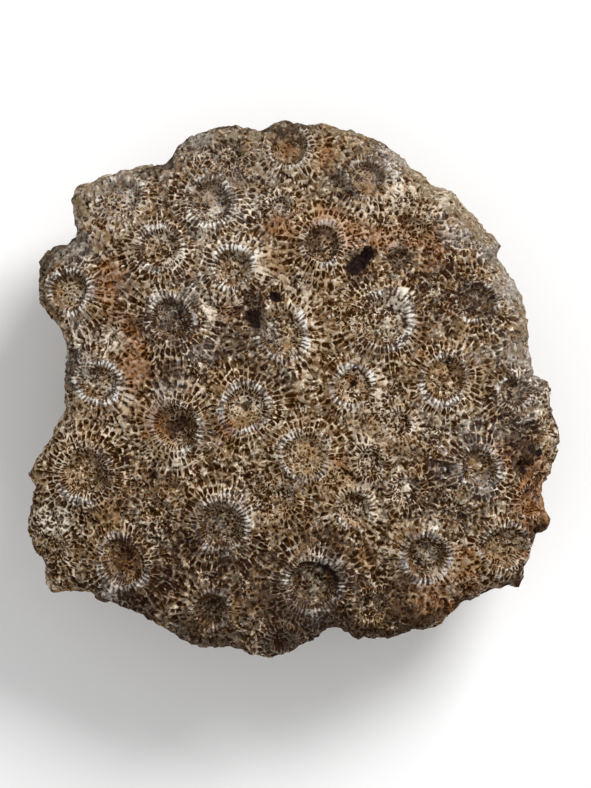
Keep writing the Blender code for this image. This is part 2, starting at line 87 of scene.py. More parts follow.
# The broken edge of the colony seen from above, as x and y, anticlockwise from the right-hand side.
OUTLINE = (
    (42.7, 1.8), (42.7, 5.6), (42.2, 8.5), (42.7, 9.6), (42.2, 11.5), (41.6, 14.5), (41.4, 16.6),
    (40.2, 18.6), (39.1, 20.6), (37.5, 22.4), (36.8, 24.2), (37.6, 25.2), (37.6, 26.0), (36.5, 27.1),
    (34.9, 28.0), (34.3, 28.8), (33.0, 30.8), (31.8, 32.2), (30.2, 33.7), (29.8, 34.8), (28.8, 35.8),
    (27.0, 36.0), (25.2, 37.0), (24.7, 38.4), (22.0, 39.8), (20.9, 42.0), (19.0, 43.3), (17.2, 44.4),
    (15.8, 45.3), (13.6, 46.0), (11.0, 46.6), (7.8, 47.5), (4.8, 47.8), (1.2, 47.9), (-1.4, 48.6),
    (-3.3, 47.9), (-4.6, 47.0), (-5.7, 46.6), (-6.9, 46.6), (-8.0, 47.3), (-9.6, 47.5), (-12.9, 47.4),
    (-14.6, 47.1), (-16.9, 46.0), (-18.8, 45.1), (-20.6, 43.6), (-21.3, 42.3), (-22.4, 40.9),
    (-24.6, 40.4), (-26.8, 40.3), (-29.2, 39.6), (-31.5, 38.8), (-33.8, 38.2), (-35.6, 37.1),
    (-37.2, 37.0), (-38.9, 36.1), (-39.6, 34.2), (-39.7, 31.8), (-39.0, 30.0), (-38.6, 28.8),
    (-39.1, 26.8), (-40.7, 25.8), (-42.4, 26.0), (-44.2, 24.4), (-45.3, 21.0), (-45.7, 18.4),
    (-45.1, 15.4), (-44.2, 14.0), (-42.8, 11.8), (-41.2, 9.6), (-40.8, 8.0), (-40.6, 4.4),
    (-40.7, 0.4), (-40.3, -3.6), (-41.2, -5.4), (-42.5, -8.0), (-43.2, -10.4), (-45.0, -12.4),
    (-47.2, -15.2), (-46.2, -17.0), (-46.4, -19.4), (-46.8, -21.8), (-47.6, -24.2), (-48.0, -25.6),
    (-47.2, -27.2), (-46.6, -28.8), (-44.9, -30.3), (-44.7, -32.2), (-44.3, -35.0), (-43.6, -36.6),
    (-42.2, -36.7), (-40.0, -36.4), (-36.6, -37.0), (-35.4, -38.2), (-33.6, -38.8), (-31.2, -39.0),
    (-29.6, -39.4), (-27.6, -39.8), (-25.4, -41.4), (-22.6, -43.6), (-20.6, -44.8), (-18.6, -45.8),
    (-17.2, -47.0), (-15.8, -47.3), (-12.4, -47.0), (-10.6, -46.3), (-8.8, -47.1), (-6.6, -48.0),
    (-5.4, -48.4), (-3.8, -49.0), (-2.2, -48.0), (1.3, -46.2), (4.2, -44.6), (6.0, -42.9),
    (7.6, -42.2), (9.2, -42.6), (12.0, -44.8), (15.6, -45.3), (17.8, -45.0), (19.4, -43.8),
    (22.6, -42.6), (26.0, -42.6), (28.4, -40.8), (30.0, -38.6), (31.6, -37.5), (34.2, -37.3),
    (36.6, -36.1), (39.0, -35.5), (41.1, -35.5), (41.8, -33.8), (43.0, -30.6), (43.6, -27.8),
    (44.2, -25.8), (45.7, -25.0), (46.3, -23.6), (45.8, -21.4), (45.1, -19.0), (45.3, -17.6),
    (46.6, -16.6), (47.2, -15.6), (46.9, -13.6), (47.8, -11.3), (47.8, -9.2), (47.2, -7.2),
    (47.1, -5.3), (46.9, -2.6), (47.2, -0.8), (46.7, 0.9), (45.6, 1.8), (44.0, 2.7),
)

# Width of the rounded shoulder inside the edge, and how far the surface falls across it, by bearing.
SHOULDER_WIDTH = ((0, 7.0), (25, 9.0), (60, 7.5), (85, 4.5), (130, 4.0), (175, 2.6), (205, 3.4),
                  (240, 5.0), (285, 5.5), (320, 6.0), (340, 5.0))
SHOULDER_DROP = ((0, 9.0), (25, 8.5), (60, 8.0), (85, 6.5), (130, 5.5), (175, 6.5), (205, 6.0),
                 (240, 8.0), (285, 9.0), (320, 8.5), (340, 8.0))

# Corallites: x, y, rim radius, bowl depth, rim height and boss height. A negative boss is a pit.
CORALLITES = (
    (-0.4, 43.4, 4.0, 1.3, 0.8, 0.2), (13.5, 37.5, 3.8, 1.2, 0.8, 0.4), (-11.5, 41.8, 3.4, 0.9, 0.5, 0.2),
    (-14.5, 33.2, 4.4, 1.4, 1.0, 0.8), (-30.5, 34.4, 4.2, 1.3, 0.7, 0.3), (-2.0, 32.5, 2.3, 0.7, 0.5, 0.2),
    (-23.3, 25.1, 4.1, 0.9, 0.7, 0.2), (-10.4, 21.5, 3.8, 1.1, 0.9, 0.3), (5.5, 25.8, 3.8, 1.6, 0.7, -0.3),
    (21.8, 28.4, 2.8, 1.0, 0.5, 0.1), (19.1, 23.4, 2.6, 1.3, 0.4, 0.0), (-39.6, 17.5, 3.9, 1.1, 0.7, 0.6),
    (-21.3, 12.4, 4.3, 1.8, 1.0, 0.2), (-1.6, 9.8, 4.6, 1.0, 0.7, 0.4), (16.5, 12.2, 5.1, 1.0, 1.1, 0.5),
    (33.1, 15.5, 3.7, 1.6, 0.6, -0.2), (-34.4, 1.1, 3.9, 0.9, 0.7, 0.3), (-20.5, -6.7, 4.5, 2.0, 0.9, -0.3),
    (-8.2, -3.3, 4.3, 0.9, 0.7, -0.7), (10.9, 0.5, 3.7, 0.9, 0.7, -0.7), (27.3, 1.8, 4.4, 1.0, 0.7, 0.4),
    (40.0, -0.4, 3.2, 1.3, 0.6, 0.2), (42.4, -8.2, 3.0, 0.7, 0.7, 0.2), (2.5, -11.8, 4.5, 0.8, 0.7, 0.3),
    (-36.7, -15.1, 5.0, 1.3, 0.8, 0.2), (19.1, -6.4, 2.8, 0.7, 0.4, 0.2), (14.0, -13.1, 2.8, 1.0, 0.6, 0.2),
    (33.5, -14.0, 3.8, 1.2, 0.8, 0.3), (-23.6, -22.2, 3.0, 0.6, 0.3, 0.2), (-12.4, -24.2, 4.8, 1.6, 1.1, 0.6),
    (-1.8, -19.6, 3.0, 0.8, 0.3, 0.2), (11.2, -21.4, 3.4, 1.1, 0.6, 0.4), (20.5, -18.2, 3.0, 0.9, 0.5, 0.7),
    (43.5, -20.4, 3.0, 1.2, 0.5, 0.1), (29.1, -22.0, 2.8, 0.8, 0.3, 0.2), (-43.0, -28.4, 3.4, 0.8, 0.5, 0.2),
    (-30.0, -30.9, 4.6, 1.4, 1.0, 0.5), (24.0, -30.0, 4.3, 1.8, 1.0, 1.0), (38.2, -28.2, 4.3, 1.2, 0.8, 0.3),
    (3.8, -34.9, 5.1, 2.3, 1.0, 1.0), (-14.4, -39.5, 3.5, 1.8, 0.6, -0.4), (14.5, -39.0, 3.0, 1.0, 0.5, 0.2),
    (-1.4, -45.2, 3.0, 0.9, 0.6, 0.1),
)
RIMS = np.array([corallite[2] for corallite in CORALLITES])

# How clearly each corallite shows its septa and its pale rim, in the order of CORALLITES.
CLARITY = (
    0.9, 0.8, 0.3, 1.0, 0.7, 0.5, 0.8, 1.0, 0.6, 0.2, 0.3, 0.9, 0.9, 0.9, 0.75,
    0.7, 0.9, 0.6, 0.8, 0.9, 0.8, 0.7, 0.4, 0.75, 0.65, 0.4, 0.3, 0.8, 0.3, 1.0,
    0.2, 0.6, 0.3, 0.5, 0.3, 0.4, 0.9, 1.0, 0.7, 0.8, 0.5, 0.2, 0.4,
)

# How dark the painted shade in the hollow inside the rim of each corallite is, in the same order.
HOLLOW_SHADE = (
    0.7, 0.5, 0.2, 0.6, 0.6, 0.4, 0.3, 0.6, 0.8, 0.2, 0.6, 0.9, 0.9, 0.35, 0.3,
    0.8, 0.5, 0.5, 0.2, 0.2, 0.6, 0.7, 0.3, 0.4, 0.6, 0.3, 0.3, 0.7, 0.2, 0.8,
    0.1, 0.5, 0.2, 0.3, 0.2, 0.2, 0.15, 0.6, 0.6, 0.7, 0.7, 0.2, 0.4,
)

# How far the floor of each corallite is a bed of beads rather than rays, in the same order.
BEADS = (
    0.9, 1.0, 1.0, 0.9, 0.9, 1.0, 0.9, 1.0, 0.3, 1.0, 0.3, 1.0, 0.7, 0.9, 1.0,
    0.7, 0.8, 0.3, 0.2, 0.6, 0.9, 1.0, 1.0, 0.2, 0.8, 1.0, 1.0, 0.6, 1.0, 0.4,
    1.0, 1.0, 1.0, 1.0, 1.0, 1.0, 0.8, 0.2, 0.9, 0.7, 0.8, 1.0, 1.0,
)

# Where the parts of a corallite lie, as shares of its rim radius, and how uneven its rim is.
BOSS_REACH = 0.38
FLOOR_REACH = 0.50
CREST = 0.95
SKIRT_REACH = 1.75
WOBBLE_SEED = 300
WOBBLE_WAVES = (2, 3, 5)   # lobes, round a rim, by which it departs from a circle
WOBBLE_LEAST = 0.01        # least depth of a lobe, as a share of the rim's radius
WOBBLE_MOST = 0.14         # greatest depth of a lobe, divided by the number of lobes

# The table of chance that all noises read, and how the corners of their grids are scrambled over it.
NOISE_TABLE = 4096
SCRAMBLE = (73856093, 19349663, 83492791)

# The noises that roughen and blotch the surface: the span over which each changes, and its seed.
STAIN_DRIFT = (2.2, 31)
SPOT_DRIFT = (0.9, 33)
RAGS = (2.6, 41)
FINE_RAGS = (1.1, 42)
FLANK_BLOTCHES = (11.0, 43)
RIM_PATCHES = (3.0, 44)
EDGE_PATCHES = (3.2, 45)
VEIL_PATCHES = (6.0, 46)
LUMPS = (2.1, 53)
FINE_LUMPS = (1.1, 54)
LEDGE_NOISE = (5.0, 55)
ORDER_CHANCE = (2.8, 56)
BROW_LUMPS = (1.8, 58)
MEANDER_DRIFT = (1.5, 61)
WEAR = (2.4, 92)
FINE_WEAR = (1.1, 93)
PITS = (3.4, 94)
UNDER_BLOTCHES = (8.0, 95)

# The seeds of what is drawn by chance.
ROSETTE_SEED = 100
FLANK_SEED = 71
CHANCE_SEED = 51
UNDER_SEED = 91

# Hollows and chips in the face: x, y, length, width, bearing in degrees and depth.
HOLLOWS = (
    (12.2, 22.7, 5.2, 2.6, 38.0, 1.7),
    (-6.7, 12.9, 3.4, 3.0, 60.0, 1.3),
    (-3.2, 16.2, 2.4, 2.0, 0.0, 1.1),
    (41.0, -14.2, 3.4, 2.2, 10.0, 1.0),
    (44.5, -18.5, 13.0, 8.0, 80.0, 1.2),
)
HOLLOW_REACH = 1.5         # where a hollow runs out, as a share of its half length and half width
HOLLOW_LEVEL = 0.5         # hollows fade in above this share of the height
HOLLOW_FADE = 6.0

# The flanks: upright flutes where corallites stand side by side, crossed by low growth steps.
FLUTE_HEIGHT = 1.0
FLUTE_SPAN = 7.5
FLUTE_STRETCH = 0.4        # below 1 the flutes run up and down
FLUTE_SEED = 11
STEP_HEIGHT = 0.45
STEP_PITCH = 8.0
STEP_SEED = 5
FLANK_TOP = 0.8            # height of the flank's relief, as a share of the whole height
FLANK_TOP_FADE = 0.2
FLANK_FOOT = 0.03
FLANK_FOOT_FADE = 0.12

# How finely the surface is cut.
SKETCH_BEARINGS = 1440     # resolution of the worked-out form
SKETCH_STEPS = 360
PROFILE_STEPS = 160
NORMAL_STEP = 0.3          # half the span over which the slope of the form is measured
BOWL_STEP = 0.33           # spacing of the rings of points inside a rim
BOWL_END = 1.12            # how far those rings go, as a share of the rim radius
NET_STEP = 0.35            # spacing of the rings outside it: three or four of them make one pore
LEAST_RAYS = 3             # septa that a ring needs
MIDDLE_WALL = 0.6
MIDDLE_ORDER = 0.5
TERRITORY = 11.5           # how far from its middle a corallite's septa run on open ground
RIM_CLAIM = 0.8            # how far a wide rim takes ground from a narrow one, in rim radii
SEAM = 0.26                # gap left between the points of two neighbouring corallites
FLANK_COLUMNS = 440
FLANK_STEP = 0.62
FLANK_START = 0.3          # share of the way from the middle of the face to the foot
FLANK_JITTER = 0.10
FOOT_MARGIN = 4.0 * FLANK_STEP
MERGE_WITHIN = 1e-7        # points closer than this become one when the surface is triangulated

# The septa of a corallite: three orders take turns round its rim, and later ones come in outside it.
SEPTA_STARTS = (0.13, 0.52, 0.32, 0.52)  # where each in turn starts, as a share of the rim radius
START_SPREAD = (0.8, 1.2)  # least and most that this is multiplied by
LATER_STARTS = (1.45, 2.5)
SEPTA_JITTER = 0.24        # how far a septum stands out of its even place, in septa
LATER_JITTER = 0.12
SEPTA_STRENGTHS = (0.3, 1.0)
BROKEN_SEPTA = 0.10        # share of the septa that are broken at a ring outside the rim
BEADED_REACH = 0.72        # septa are rows of beads up to here, as a share of the rim radius
BEADED_SPREAD = 0.07
BEAD_GAP = -0.45           # height of a gap between two beads of a septum
BEAD_GAPS = 0.45           # share of the beads that are missing

# The bars between septa and the pores between bars, with heights from 1 on a septum to -1 in a pore.
BAR_PERIODS = (3, 5)       # rings from one bar to the next: at least the first, less than the second
FLANK_PERIODS = (3, 6)
STAGGER = 60               # rings over which the bars of neighbouring grooves are out of step
BAR_SLIPS = 0.10           # share of the bars that fall out of step with their row
BAR_SPREAD = 0.2
BAR_SHARES = (0.0, 0.55, 0.74, 1.00, 1.14)
BAR_TOPS = (0.7, 0.5, -0.6, -0.4, 0.75)
NET_BAR = 0.7              # height of a bar where no clear rim is
CLOSED_PORES = 0.05        # share of the pores that are closed, and how high those stand
CLOSED_TOP = 0.4
PORE_SPREAD = 0.5
GROOVE_SHARES = (0.5, 0.8, 1.15, 1.45)
GROOVE_FALL = (0.5, 0.6, 0.6, 1.0)

# How the rays of a corallite wander: round its middle as they run out, and sideways.
OUTSIDE = (1.1, 0.4)       # where the ground outside a rim begins, and over how much it eases in
SWIRL = 0.12               # turn, in radians for each rim radius further out
BEND = 0.10
MEANDER = 0.25             # sideways shift outside a rim, and where the septa aren't clear
WORN_MEANDER = 0.35
RING_JITTER = 0.035        # how far points stand out of their places
LOOSE_JITTER = 0.045       # what is added to that on the floor of a bowl and outside the rim
FLOOR_END = 0.6            # where the floor of a bowl ends, as a share of the rim radius
CLARITY_GAIN = 1.15

# Fine relief by distance from a corallite's middle, as shares of its rim radius.
RELIEF_SHARES = (0.0, 0.25, 0.55, 0.80, 0.98, 1.15, 1.45, 2.00, 3.00)
RIDGE_RISE = (0.50, 0.55, 0.60, 0.76, 0.80, 0.72, 0.60, 0.55, 0.55)  # shares of the ridge height
PORE_FALL = (0.40, 0.42, 0.70, 0.76, 0.52, 0.70, 1.00, 1.00, 1.00)   # shares of the pore depth

# How strictly the net keeps to the rays, from 0 to 1, by the same distance. Wear and chance loosen it.
ORDER_SHARES = (0.0, 0.50, 0.66, 0.80, 1.10, 1.35, 1.80, 2.50)
ORDER = (0.70, 0.75, 0.90, 1.00, 1.00, 1.00, 0.92, 0.80)
NET_ORDER = 0.58
FLANK_ORDER = 0.5
ORDER_WEIGHT = 1.6
WEAR_WEIGHT = 0.6
CHANCE_WEIGHT = 1.35

# The irregular net and the beads, whose walls and gaps are WALL_WIDTH of a cell wide.
NET_PITCH = 1.05
NET_SEED = 52
BEAD_PITCH = 0.85
BEAD_SEED = 57
WALL_WIDTH = 0.30
NET_CHANCE = 0.2
BEAD_CHANCE = 0.3
CELL_STRETCH = 2.0         # how much longer than wide the pores between the rays are
NET_CORE = 0.2             # nearest that the material's net comes to a middle, in rim radii
LAYER_GAP = 7.0            # keeps the material's nets of two neighbouring corallites apart

# What else roughens the surface: lumps everywhere, more of them on the brow, and ledges on the flanks.
LUMP_HEIGHT = 0.20
FINE_LUMP_HEIGHT = 0.10
CRUST_LUMP_HEIGHT = 0.25   # what the crust adds to the fine lumps
BROW_HEIGHT = 0.50
LEDGE_HEIGHT = 0.16
LEDGE_PITCH = 1.9
LEDGE_WANDER = 1.1         # in ledges

# The crust fills the pores of the net, and where it is thick it has a few small ones of its own.
CRUST_FILL = 0.62
CRUST_HOLED = 0.4          # cover above which it has holes
CRUST_HOLES = 0.125        # share of its points that are holes
CRUST_MOST = 0.9           # greatest cover of the shoulder's band
CRUST_GAIN = 1.25
CRUST_START = -0.12
RAG = 0.6                  # how ragged its edges are
FINE_RAG = 0.45
VEIL_MOST = 0.5            # greatest cover of the thin crust over the upper part of the face
VEIL_RISE = (24.0, 14.0)   # y where that begins, and over how much it eases in
VEIL_START = 0.65
FLANK_CRUST = 0.35         # mean cover of the flanks, before patches and rags
FLANK_PATCHES = 1.1
FLANK_RAG = 0.7
FLANK_CRUST_STRETCH = 0.6  # below 1 the patches run up and down

# Bands along the edge, as their width inwards and how much of it they ease in over.
CRUST_WIDTH = (6.0, 4.5)
SHADED_WIDTH = (5.5, 4.5)
BROW_WIDTH = (3.5, 3.0)

# Heights at which something begins, and over how much it eases in.
STAIN_LEVEL = (17.0, 8.0)
SPOT_LEVEL = (20.0, 5.0)
SHADE_LEVEL = (12.0, 8.0)
CRUST_LEVEL = (25.0, 5.0)
LEDGE_LEVEL = (27.0, 6.0)

# Rings of a corallite by start, rise, end and fall, and discs by end and fall, in rim radii.
CREST_RING = (0.78, 0.13, 1.26, 0.25)
# the painted shade inside a bowl lies on this ring, and that of its core in the core disc
HOLLOW_SHADE_RING = (0.40, 0.20, 0.90, 0.14)
RAY_RING = (0.6, 0.2, 3.0, 0.8)
BEAD_DISC = (0.84, 0.14)
BOWL_DISC = (0.82, 0.18)
CORE_DISC = (0.28, 0.20)

# How patchy the pale rims and the shaded edge are, and how dark the painted shade in the hollows gets.
RIM_LEAST = 0.60
RIM_SPREAD = 0.70
PATCH_GAIN = 1.1
EDGE_START = 0.45
LIGHT_SIDE = (0.64, 0.77)  # direction of the light, whose side of a bowl lies in shade
SIDE_SHADE = 0.25
MIDDLE_REACH = 0.1         # a bowl has no light side nearer its middle than this
CORE_SHADE = 0.8

# Where the crust lies, where the edge is darkest and where the flank is bare of crust, by bearing.
CRUST_BAND = ((0, 0.35), (8, 0.8), (20, 0.9), (66, 0.9), (84, 0.7), (120, 0.75), (155, 0.7), (176, 0.2),
              (300, 0.1), (340, 0.3))
SHADED_EDGE = ((0, 0.1), (60, 0.1), (78, 0.8), (92, 0.7), (118, 0.9), (137, 0.3), (152, 0.9), (190, 0.2),
               (225, 0.8), (285, 1.4), (335, 1.2), (352, 0.5))
BARE_EDGE = ((0, 0.2), (20, 0.0), (100, 0.2), (150, 0.5), (190, 0.8), (225, 1.0), (320, 1.0), (345, 0.6))

# How stains, and the painted shade and light listed with them, thin out from their middles, and how strong
# overlapping ones get.
STAIN_FALL = 1.2
STAIN_MOST = 1.3
SPOT_SHIFT = 0.4           # how far the edges of the black spots are shifted, and how soft they are
SPOT_FADE = 0.5

# Stains of the face, with painted shade, shadows and a highlight listed among them: x, y, radius and
# strength.
RUST = (
    (-0.6, 42.8, 2.4, 1.0), (6.4, 41.5, 2.6, 0.7), (13.8, 36.0, 2.6, 0.7), (6.2, 30.9, 2.6, 0.4),
    (30.5, 30.0, 3.0, 0.3), (6.0, 29.6, 3.4, 0.7), (-0.9, 28.8, 3.0, 0.7), (-3.6, 28.6, 2.4, 0.5),
    (10.6, 28.0, 3.0, 0.8), (15.0, 27.4, 3.0, 0.8), (20.1, 27.3, 4.0, 0.6), (25.4, 26.4, 3.6, 0.4),
    (10.7, 24.5, 2.4, 0.7), (26.4, 23.6, 4.0, 0.5), (1.0, 22.0, 5.0, 0.35), (-33.3, 20.9, 3.0, 0.9),
    (-33.0, 19.0, 3.6, 0.5), (-33.0, 16.5, 2.6, 0.8), (-10.9, 14.2, 2.4, 0.6), (-10.6, 13.0, 2.0, 0.6),
    (-32.2, 12.5, 2.6, 0.5), (22.6, 11.0, 3.0, 0.5), (-28.0, 10.6, 2.4, 0.9), (-27.4, 7.0, 2.6, 1.1),
    (-30.4, 6.0, 3.6, 0.4), (24.0, 6.0, 3.6, 0.4), (-26.8, 3.4, 2.4, 1.0), (-27.6, 2.0, 2.6, 0.6),
    (10.8, 1.4, 1.5, 0.8), (-27.6, -0.6, 2.0, 0.6), (-23.2, -6.2, 2.2, 1.0), (-25.2, -6.8, 2.0, 1.0),
    (-11.0, -7.2, 1.8, 1.1), (37.8, -11.1, 2.4, 0.6), (37.3, -11.5, 2.6, 0.9), (9.1, -13.1, 1.8, 0.7),
    (44.0, -16.0, 3.6, 1.3), (-20.8, -17.0, 4.0, 0.3), (43.0, -20.6, 3.6, 1.2), (45.0, -22.8, 2.6, 1.2),
    (44.6, -26.0, 2.4, 0.6), (12.7, -29.1, 3.0, 0.6), (-29.6, -29.4, 2.6, 1.1), (31.0, -29.5, 3.0, 0.9),
    (-16.8, -31.0, 3.0, 0.3), (42.0, -31.0, 3.0, 0.5), (-30.0, -31.6, 2.2, 0.8), (31.8, -34.5, 3.0, 0.6),
    (-14.9, -36.7, 2.4, 0.5), (-14.6, -37.6, 2.2, 0.7), (24.5, -38.0, 4.6, 1.2), (28.0, -40.0, 2.4, 0.8),
)
GREY = (
    (-17.3, 45.5, 3.2, 0.9), (18.2, 41.0, 4.6, 0.8), (-12.0, 40.0, 12.0, 0.3), (-3.0, 39.6, 4.0, 0.3),
    (9.1, 38.2, 2.6, 0.6), (14.4, 38.0, 5.6, 0.3), (-30.5, 36.0, 5.0, 0.4), (-14.5, 34.0, 5.6, 0.3),
    (-10.0, 33.0, 7.0, 0.3), (-1.3, 32.2, 2.6, 0.5), (-32.0, 32.0, 12.0, 0.3), (26.2, 30.2, 3.0, 0.6),
    (30.0, 27.3, 3.6, 0.8), (-26.4, 27.0, 3.0, 0.4), (-16.5, 26.9, 3.0, 0.5), (-39.0, 24.5, 4.4, 0.7),
    (35.5, 24.5, 3.2, 0.8), (-8.6, 24.0, 4.0, 0.4), (-15.0, 20.5, 3.0, 0.4), (-28.9, 18.9, 3.0, 0.4),
    (39.1, 18.2, 3.2, 0.8), (-35.8, 17.3, 2.8, 0.6), (-18.7, 16.5, 2.6, 0.7), (33.1, 15.4, 3.4, 0.4),
    (-20.0, 14.0, 8.0, 0.25), (-21.3, 12.4, 5.0, 0.35), (16.5, 12.2, 6.0, 0.35), (-38.0, 12.0, 3.0, 0.5),
    (40.0, 12.0, 9.0, 0.3), (-4.0, 10.5, 2.6, 0.6), (-2.0, 8.6, 4.6, 0.35), (-15.1, 6.2, 3.0, 0.8),
    (-36.0, 6.0, 9.0, 0.25), (32.9, 6.0, 3.0, 0.4), (40.0, 5.0, 5.0, 0.5), (-38.6, 4.0, 4.0, 0.6),
    (-20.2, 2.4, 4.0, 0.4), (44.5, 0.9, 3.6, 0.7), (-30.5, -0.2, 3.0, 0.5), (-22.0, -0.2, 2.8, 0.6),
    (-24.0, -4.0, 3.0, 0.4), (38.0, -4.0, 7.0, 0.3), (42.0, -6.0, 4.4, 0.5), (31.5, -8.5, 3.0, 0.6),
    (-14.4, -9.6, 3.0, 0.5), (26.0, -12.0, 9.0, 0.25), (28.2, -14.5, 3.0, 0.5), (0.9, -16.4, 2.2, 0.6),
    (35.5, -16.6, 3.0, 0.5), (34.0, -17.8, 3.0, 0.5), (-9.8, -18.5, 3.0, 0.4), (36.0, -22.0, 3.0, 0.2),
    (-41.5, -24.0, 3.4, 0.4), (-12.4, -24.2, 6.0, 0.3), (-4.0, -34.0, 16.0, 0.28), (9.4, -34.0, 3.0, 0.3),
    (-32.2, -35.5, 3.6, 1.0), (4.0, -41.0, 3.4, 0.5),
)
# Dark stains, with painted shade among them: the broad patches towards the lower edge, the shadow beside the
# pit at (12.2, 22.7) and the overhang shadow at (41.0, -14.0).
DARK_AND_SHADE = (
    (0.5, 46.0, 4.0, 0.5), (-12.0, 44.0, 4.5, 0.45), (12.0, 42.5, 4.5, 0.5), (-22.5, 39.5, 4.5, 0.5),
    (8.6, 38.0, 2.6, 0.6), (5.6, 37.1, 2.2, 0.5), (12.2, 35.8, 2.0, 0.3), (10.0, 35.2, 2.6, 1.0),
    (-22.7, 32.9, 3.0, 0.5), (-16.4, 30.5, 2.6, 0.5), (5.0, 25.4, 2.7, 1.1), (4.0, 24.8, 1.6, 0.8),
    (13.8, 24.4, 1.4, 0.8), (19.1, 23.0, 2.4, 1.0), (-38.5, 22.5, 4.5, 0.55), (25.3, 22.5, 2.6, 0.4),
    (12.2, 22.3, 2.3, 1.4), (18.9, 22.0, 2.2, 0.5), (28.7, 20.0, 3.0, 0.5), (12.5, 19.5, 2.6, 0.7),
    (1.1, 18.9, 2.6, 0.4), (26.0, 18.0, 9.0, 0.35), (23.5, 17.5, 3.0, 0.6), (33.1, 16.4, 3.2, 0.6),
    (-6.6, 15.8, 2.0, 1.2), (-8.0, 14.0, 8.0, 0.3), (32.6, 13.6, 3.0, 0.6), (-6.7, 12.7, 2.0, 1.0),
    (-20.9, 12.4, 4.2, 0.5), (37.0, 11.5, 3.0, 0.3), (-25.6, 11.3, 2.4, 0.5), (-21.0, 11.0, 9.0, 0.25),
    (-5.5, 10.7, 2.0, 0.6), (25.6, 10.5, 3.0, 0.5), (-11.6, 10.4, 3.0, 0.5), (-2.7, 8.2, 2.4, 0.5),
    (31.6, 7.3, 2.6, 0.5), (-9.8, 6.9, 2.6, 0.5), (-7.5, 6.7, 3.0, 0.5), (-21.4, 4.0, 2.8, 0.8),
    (-5.5, 2.7, 2.4, 0.5), (-39.8, 2.4, 2.6, 0.7), (-0.8, 1.8, 2.8, 0.9), (27.1, 1.1, 2.2, 0.4),
    (-39.5, 0.7, 2.6, 0.6), (-24.4, 0.2, 2.4, 0.5), (-34.4, -0.9, 2.2, 0.4), (39.0, -1.0, 3.0, 0.5),
    (-12.7, -3.1, 2.4, 0.5), (-8.2, -3.3, 1.1, 1.3), (22.9, -3.5, 2.6, 0.6), (-20.8, -6.4, 1.6, 0.9),
    (-20.3, -6.7, 2.6, 0.7), (30.4, -7.8, 2.6, 0.5), (38.0, -8.0, 8.0, 0.3), (39.0, -8.6, 3.0, 0.8),
    (42.7, -11.0, 3.4, 0.7), (26.0, -12.0, 8.0, 0.25), (-28.7, -12.2, 2.6, 0.5), (41.0, -14.0, 1.5, 1.0),
    (28.2, -14.5, 3.0, 0.6), (-23.5, -14.9, 2.6, 0.5), (30.9, -15.1, 2.4, 0.5), (-32.4, -15.3, 3.0, 0.5),
    (-31.6, -16.8, 2.4, 0.4), (-20.8, -17.0, 4.0, 0.4), (-29.1, -20.2, 2.6, 0.4),
    (-37.0, -20.4, 3.0, 0.35), (25.8, -20.4, 3.0, 0.5), (21.0, -22.0, 2.8, 0.6), (28.5, -22.4, 2.6, 0.5),
    (32.3, -22.6, 3.0, 0.8), (-36.0, -24.0, 10.0, 0.15), (4.7, -24.4, 2.6, 0.4), (-14.7, -24.9, 2.2, 0.5),
    (-4.0, -27.0, 9.0, 0.25), (38.5, -27.0, 3.0, 0.5), (-18.4, -27.1, 3.4, 0.6), (-29.6, -27.6, 2.2, 0.8),
    (25.8, -28.0, 2.2, 0.4), (8.4, -28.7, 3.4, 0.6), (-11.8, -29.8, 2.6, 0.6), (6.4, -32.6, 2.6, 0.4),
    (-22.2, -33.3, 3.0, 0.6), (-24.0, -34.0, 13.0, 0.52), (9.4, -34.0, 3.0, 0.5),
    (18.0, -34.0, 12.0, 0.48), (20.0, -34.5, 2.8, 0.5), (-12.7, -35.5, 2.6, 0.5), (30.0, -37.0, 3.5, 0.3),
    (-4.0, -38.0, 13.0, 0.58), (19.0, -39.0, 4.0, 0.5), (0.7, -39.6, 2.6, 0.5), (-2.5, -39.8, 4.0, 0.6),
    (-29.0, -40.0, 5.0, 0.5), (-14.4, -40.0, 2.8, 0.6), (8.2, -42.0, 4.6, 0.7), (22.0, -43.0, 4.0, 0.4),
    (-20.0, -44.0, 5.0, 0.5), (-1.0, -45.0, 3.4, 0.5),
)
# Black spots, with painted shadow arcs among them: from (25.6, -26.9) to (27.2, -28.8) and from (3.4, -31.2)
# to (8.0, -33.8), inside two bowls on the side towards the light.
BLACK_AND_SHADOW = (
    (-6.9, 13.0, 1.3, 1.0), (-6.2, 11.7, 1.0, 1.0), (-7.4, 14.0, 0.6, 1.0), (-3.2, 16.3, 0.8, 1.0),
    (-2.2, 16.0, 0.5, 1.0), (-2.8, 17.2, 0.4, 0.9), (11.2, 21.7, 1.3, 0.95), (12.5, 23.0, 1.5, 0.95),
    (13.8, 24.5, 1.1, 0.9), (11.4, 0.9, 0.65, 0.9), (41.6, -14.6, 0.7, 0.9), (39.4, -9.9, 0.6, 0.7),
    (-5.6, 16.4, 0.4, 0.8), (-8.3, -3.4, 0.9, 0.52), (30.7, -24.9, 0.4, 0.7), (-28.8, -32.4, 0.35, 1.0),
    (-30.4, -33.0, 0.3, 1.0), (35.8, 16.3, 0.6, 0.7), (25.6, -26.9, 0.6, 0.5), (26.7, -27.7, 0.7, 0.55),
    (27.2, -28.8, 0.6, 0.5), (23.0, -31.2, 0.8, 0.6), (3.4, -31.2, 0.7, 0.7), (4.9, -31.3, 0.7, 0.8),
    (6.2, -31.8, 0.8, 0.8), (7.3, -32.7, 0.8, 0.8), (8.0, -33.8, 0.7, 0.7), (27.9, 5.0, 0.8, 0.6),
    (32.4, -11.0, 0.7, 0.5), (-33.6, -12.4, 0.7, 0.4), (-34.4, -13.4, 0.7, 0.4), (44.6, -11.6, 1.0, 0.8),
    (43.0, -10.8, 0.8, 0.7), (-14.2, -38.6, 0.9, 0.6),
)
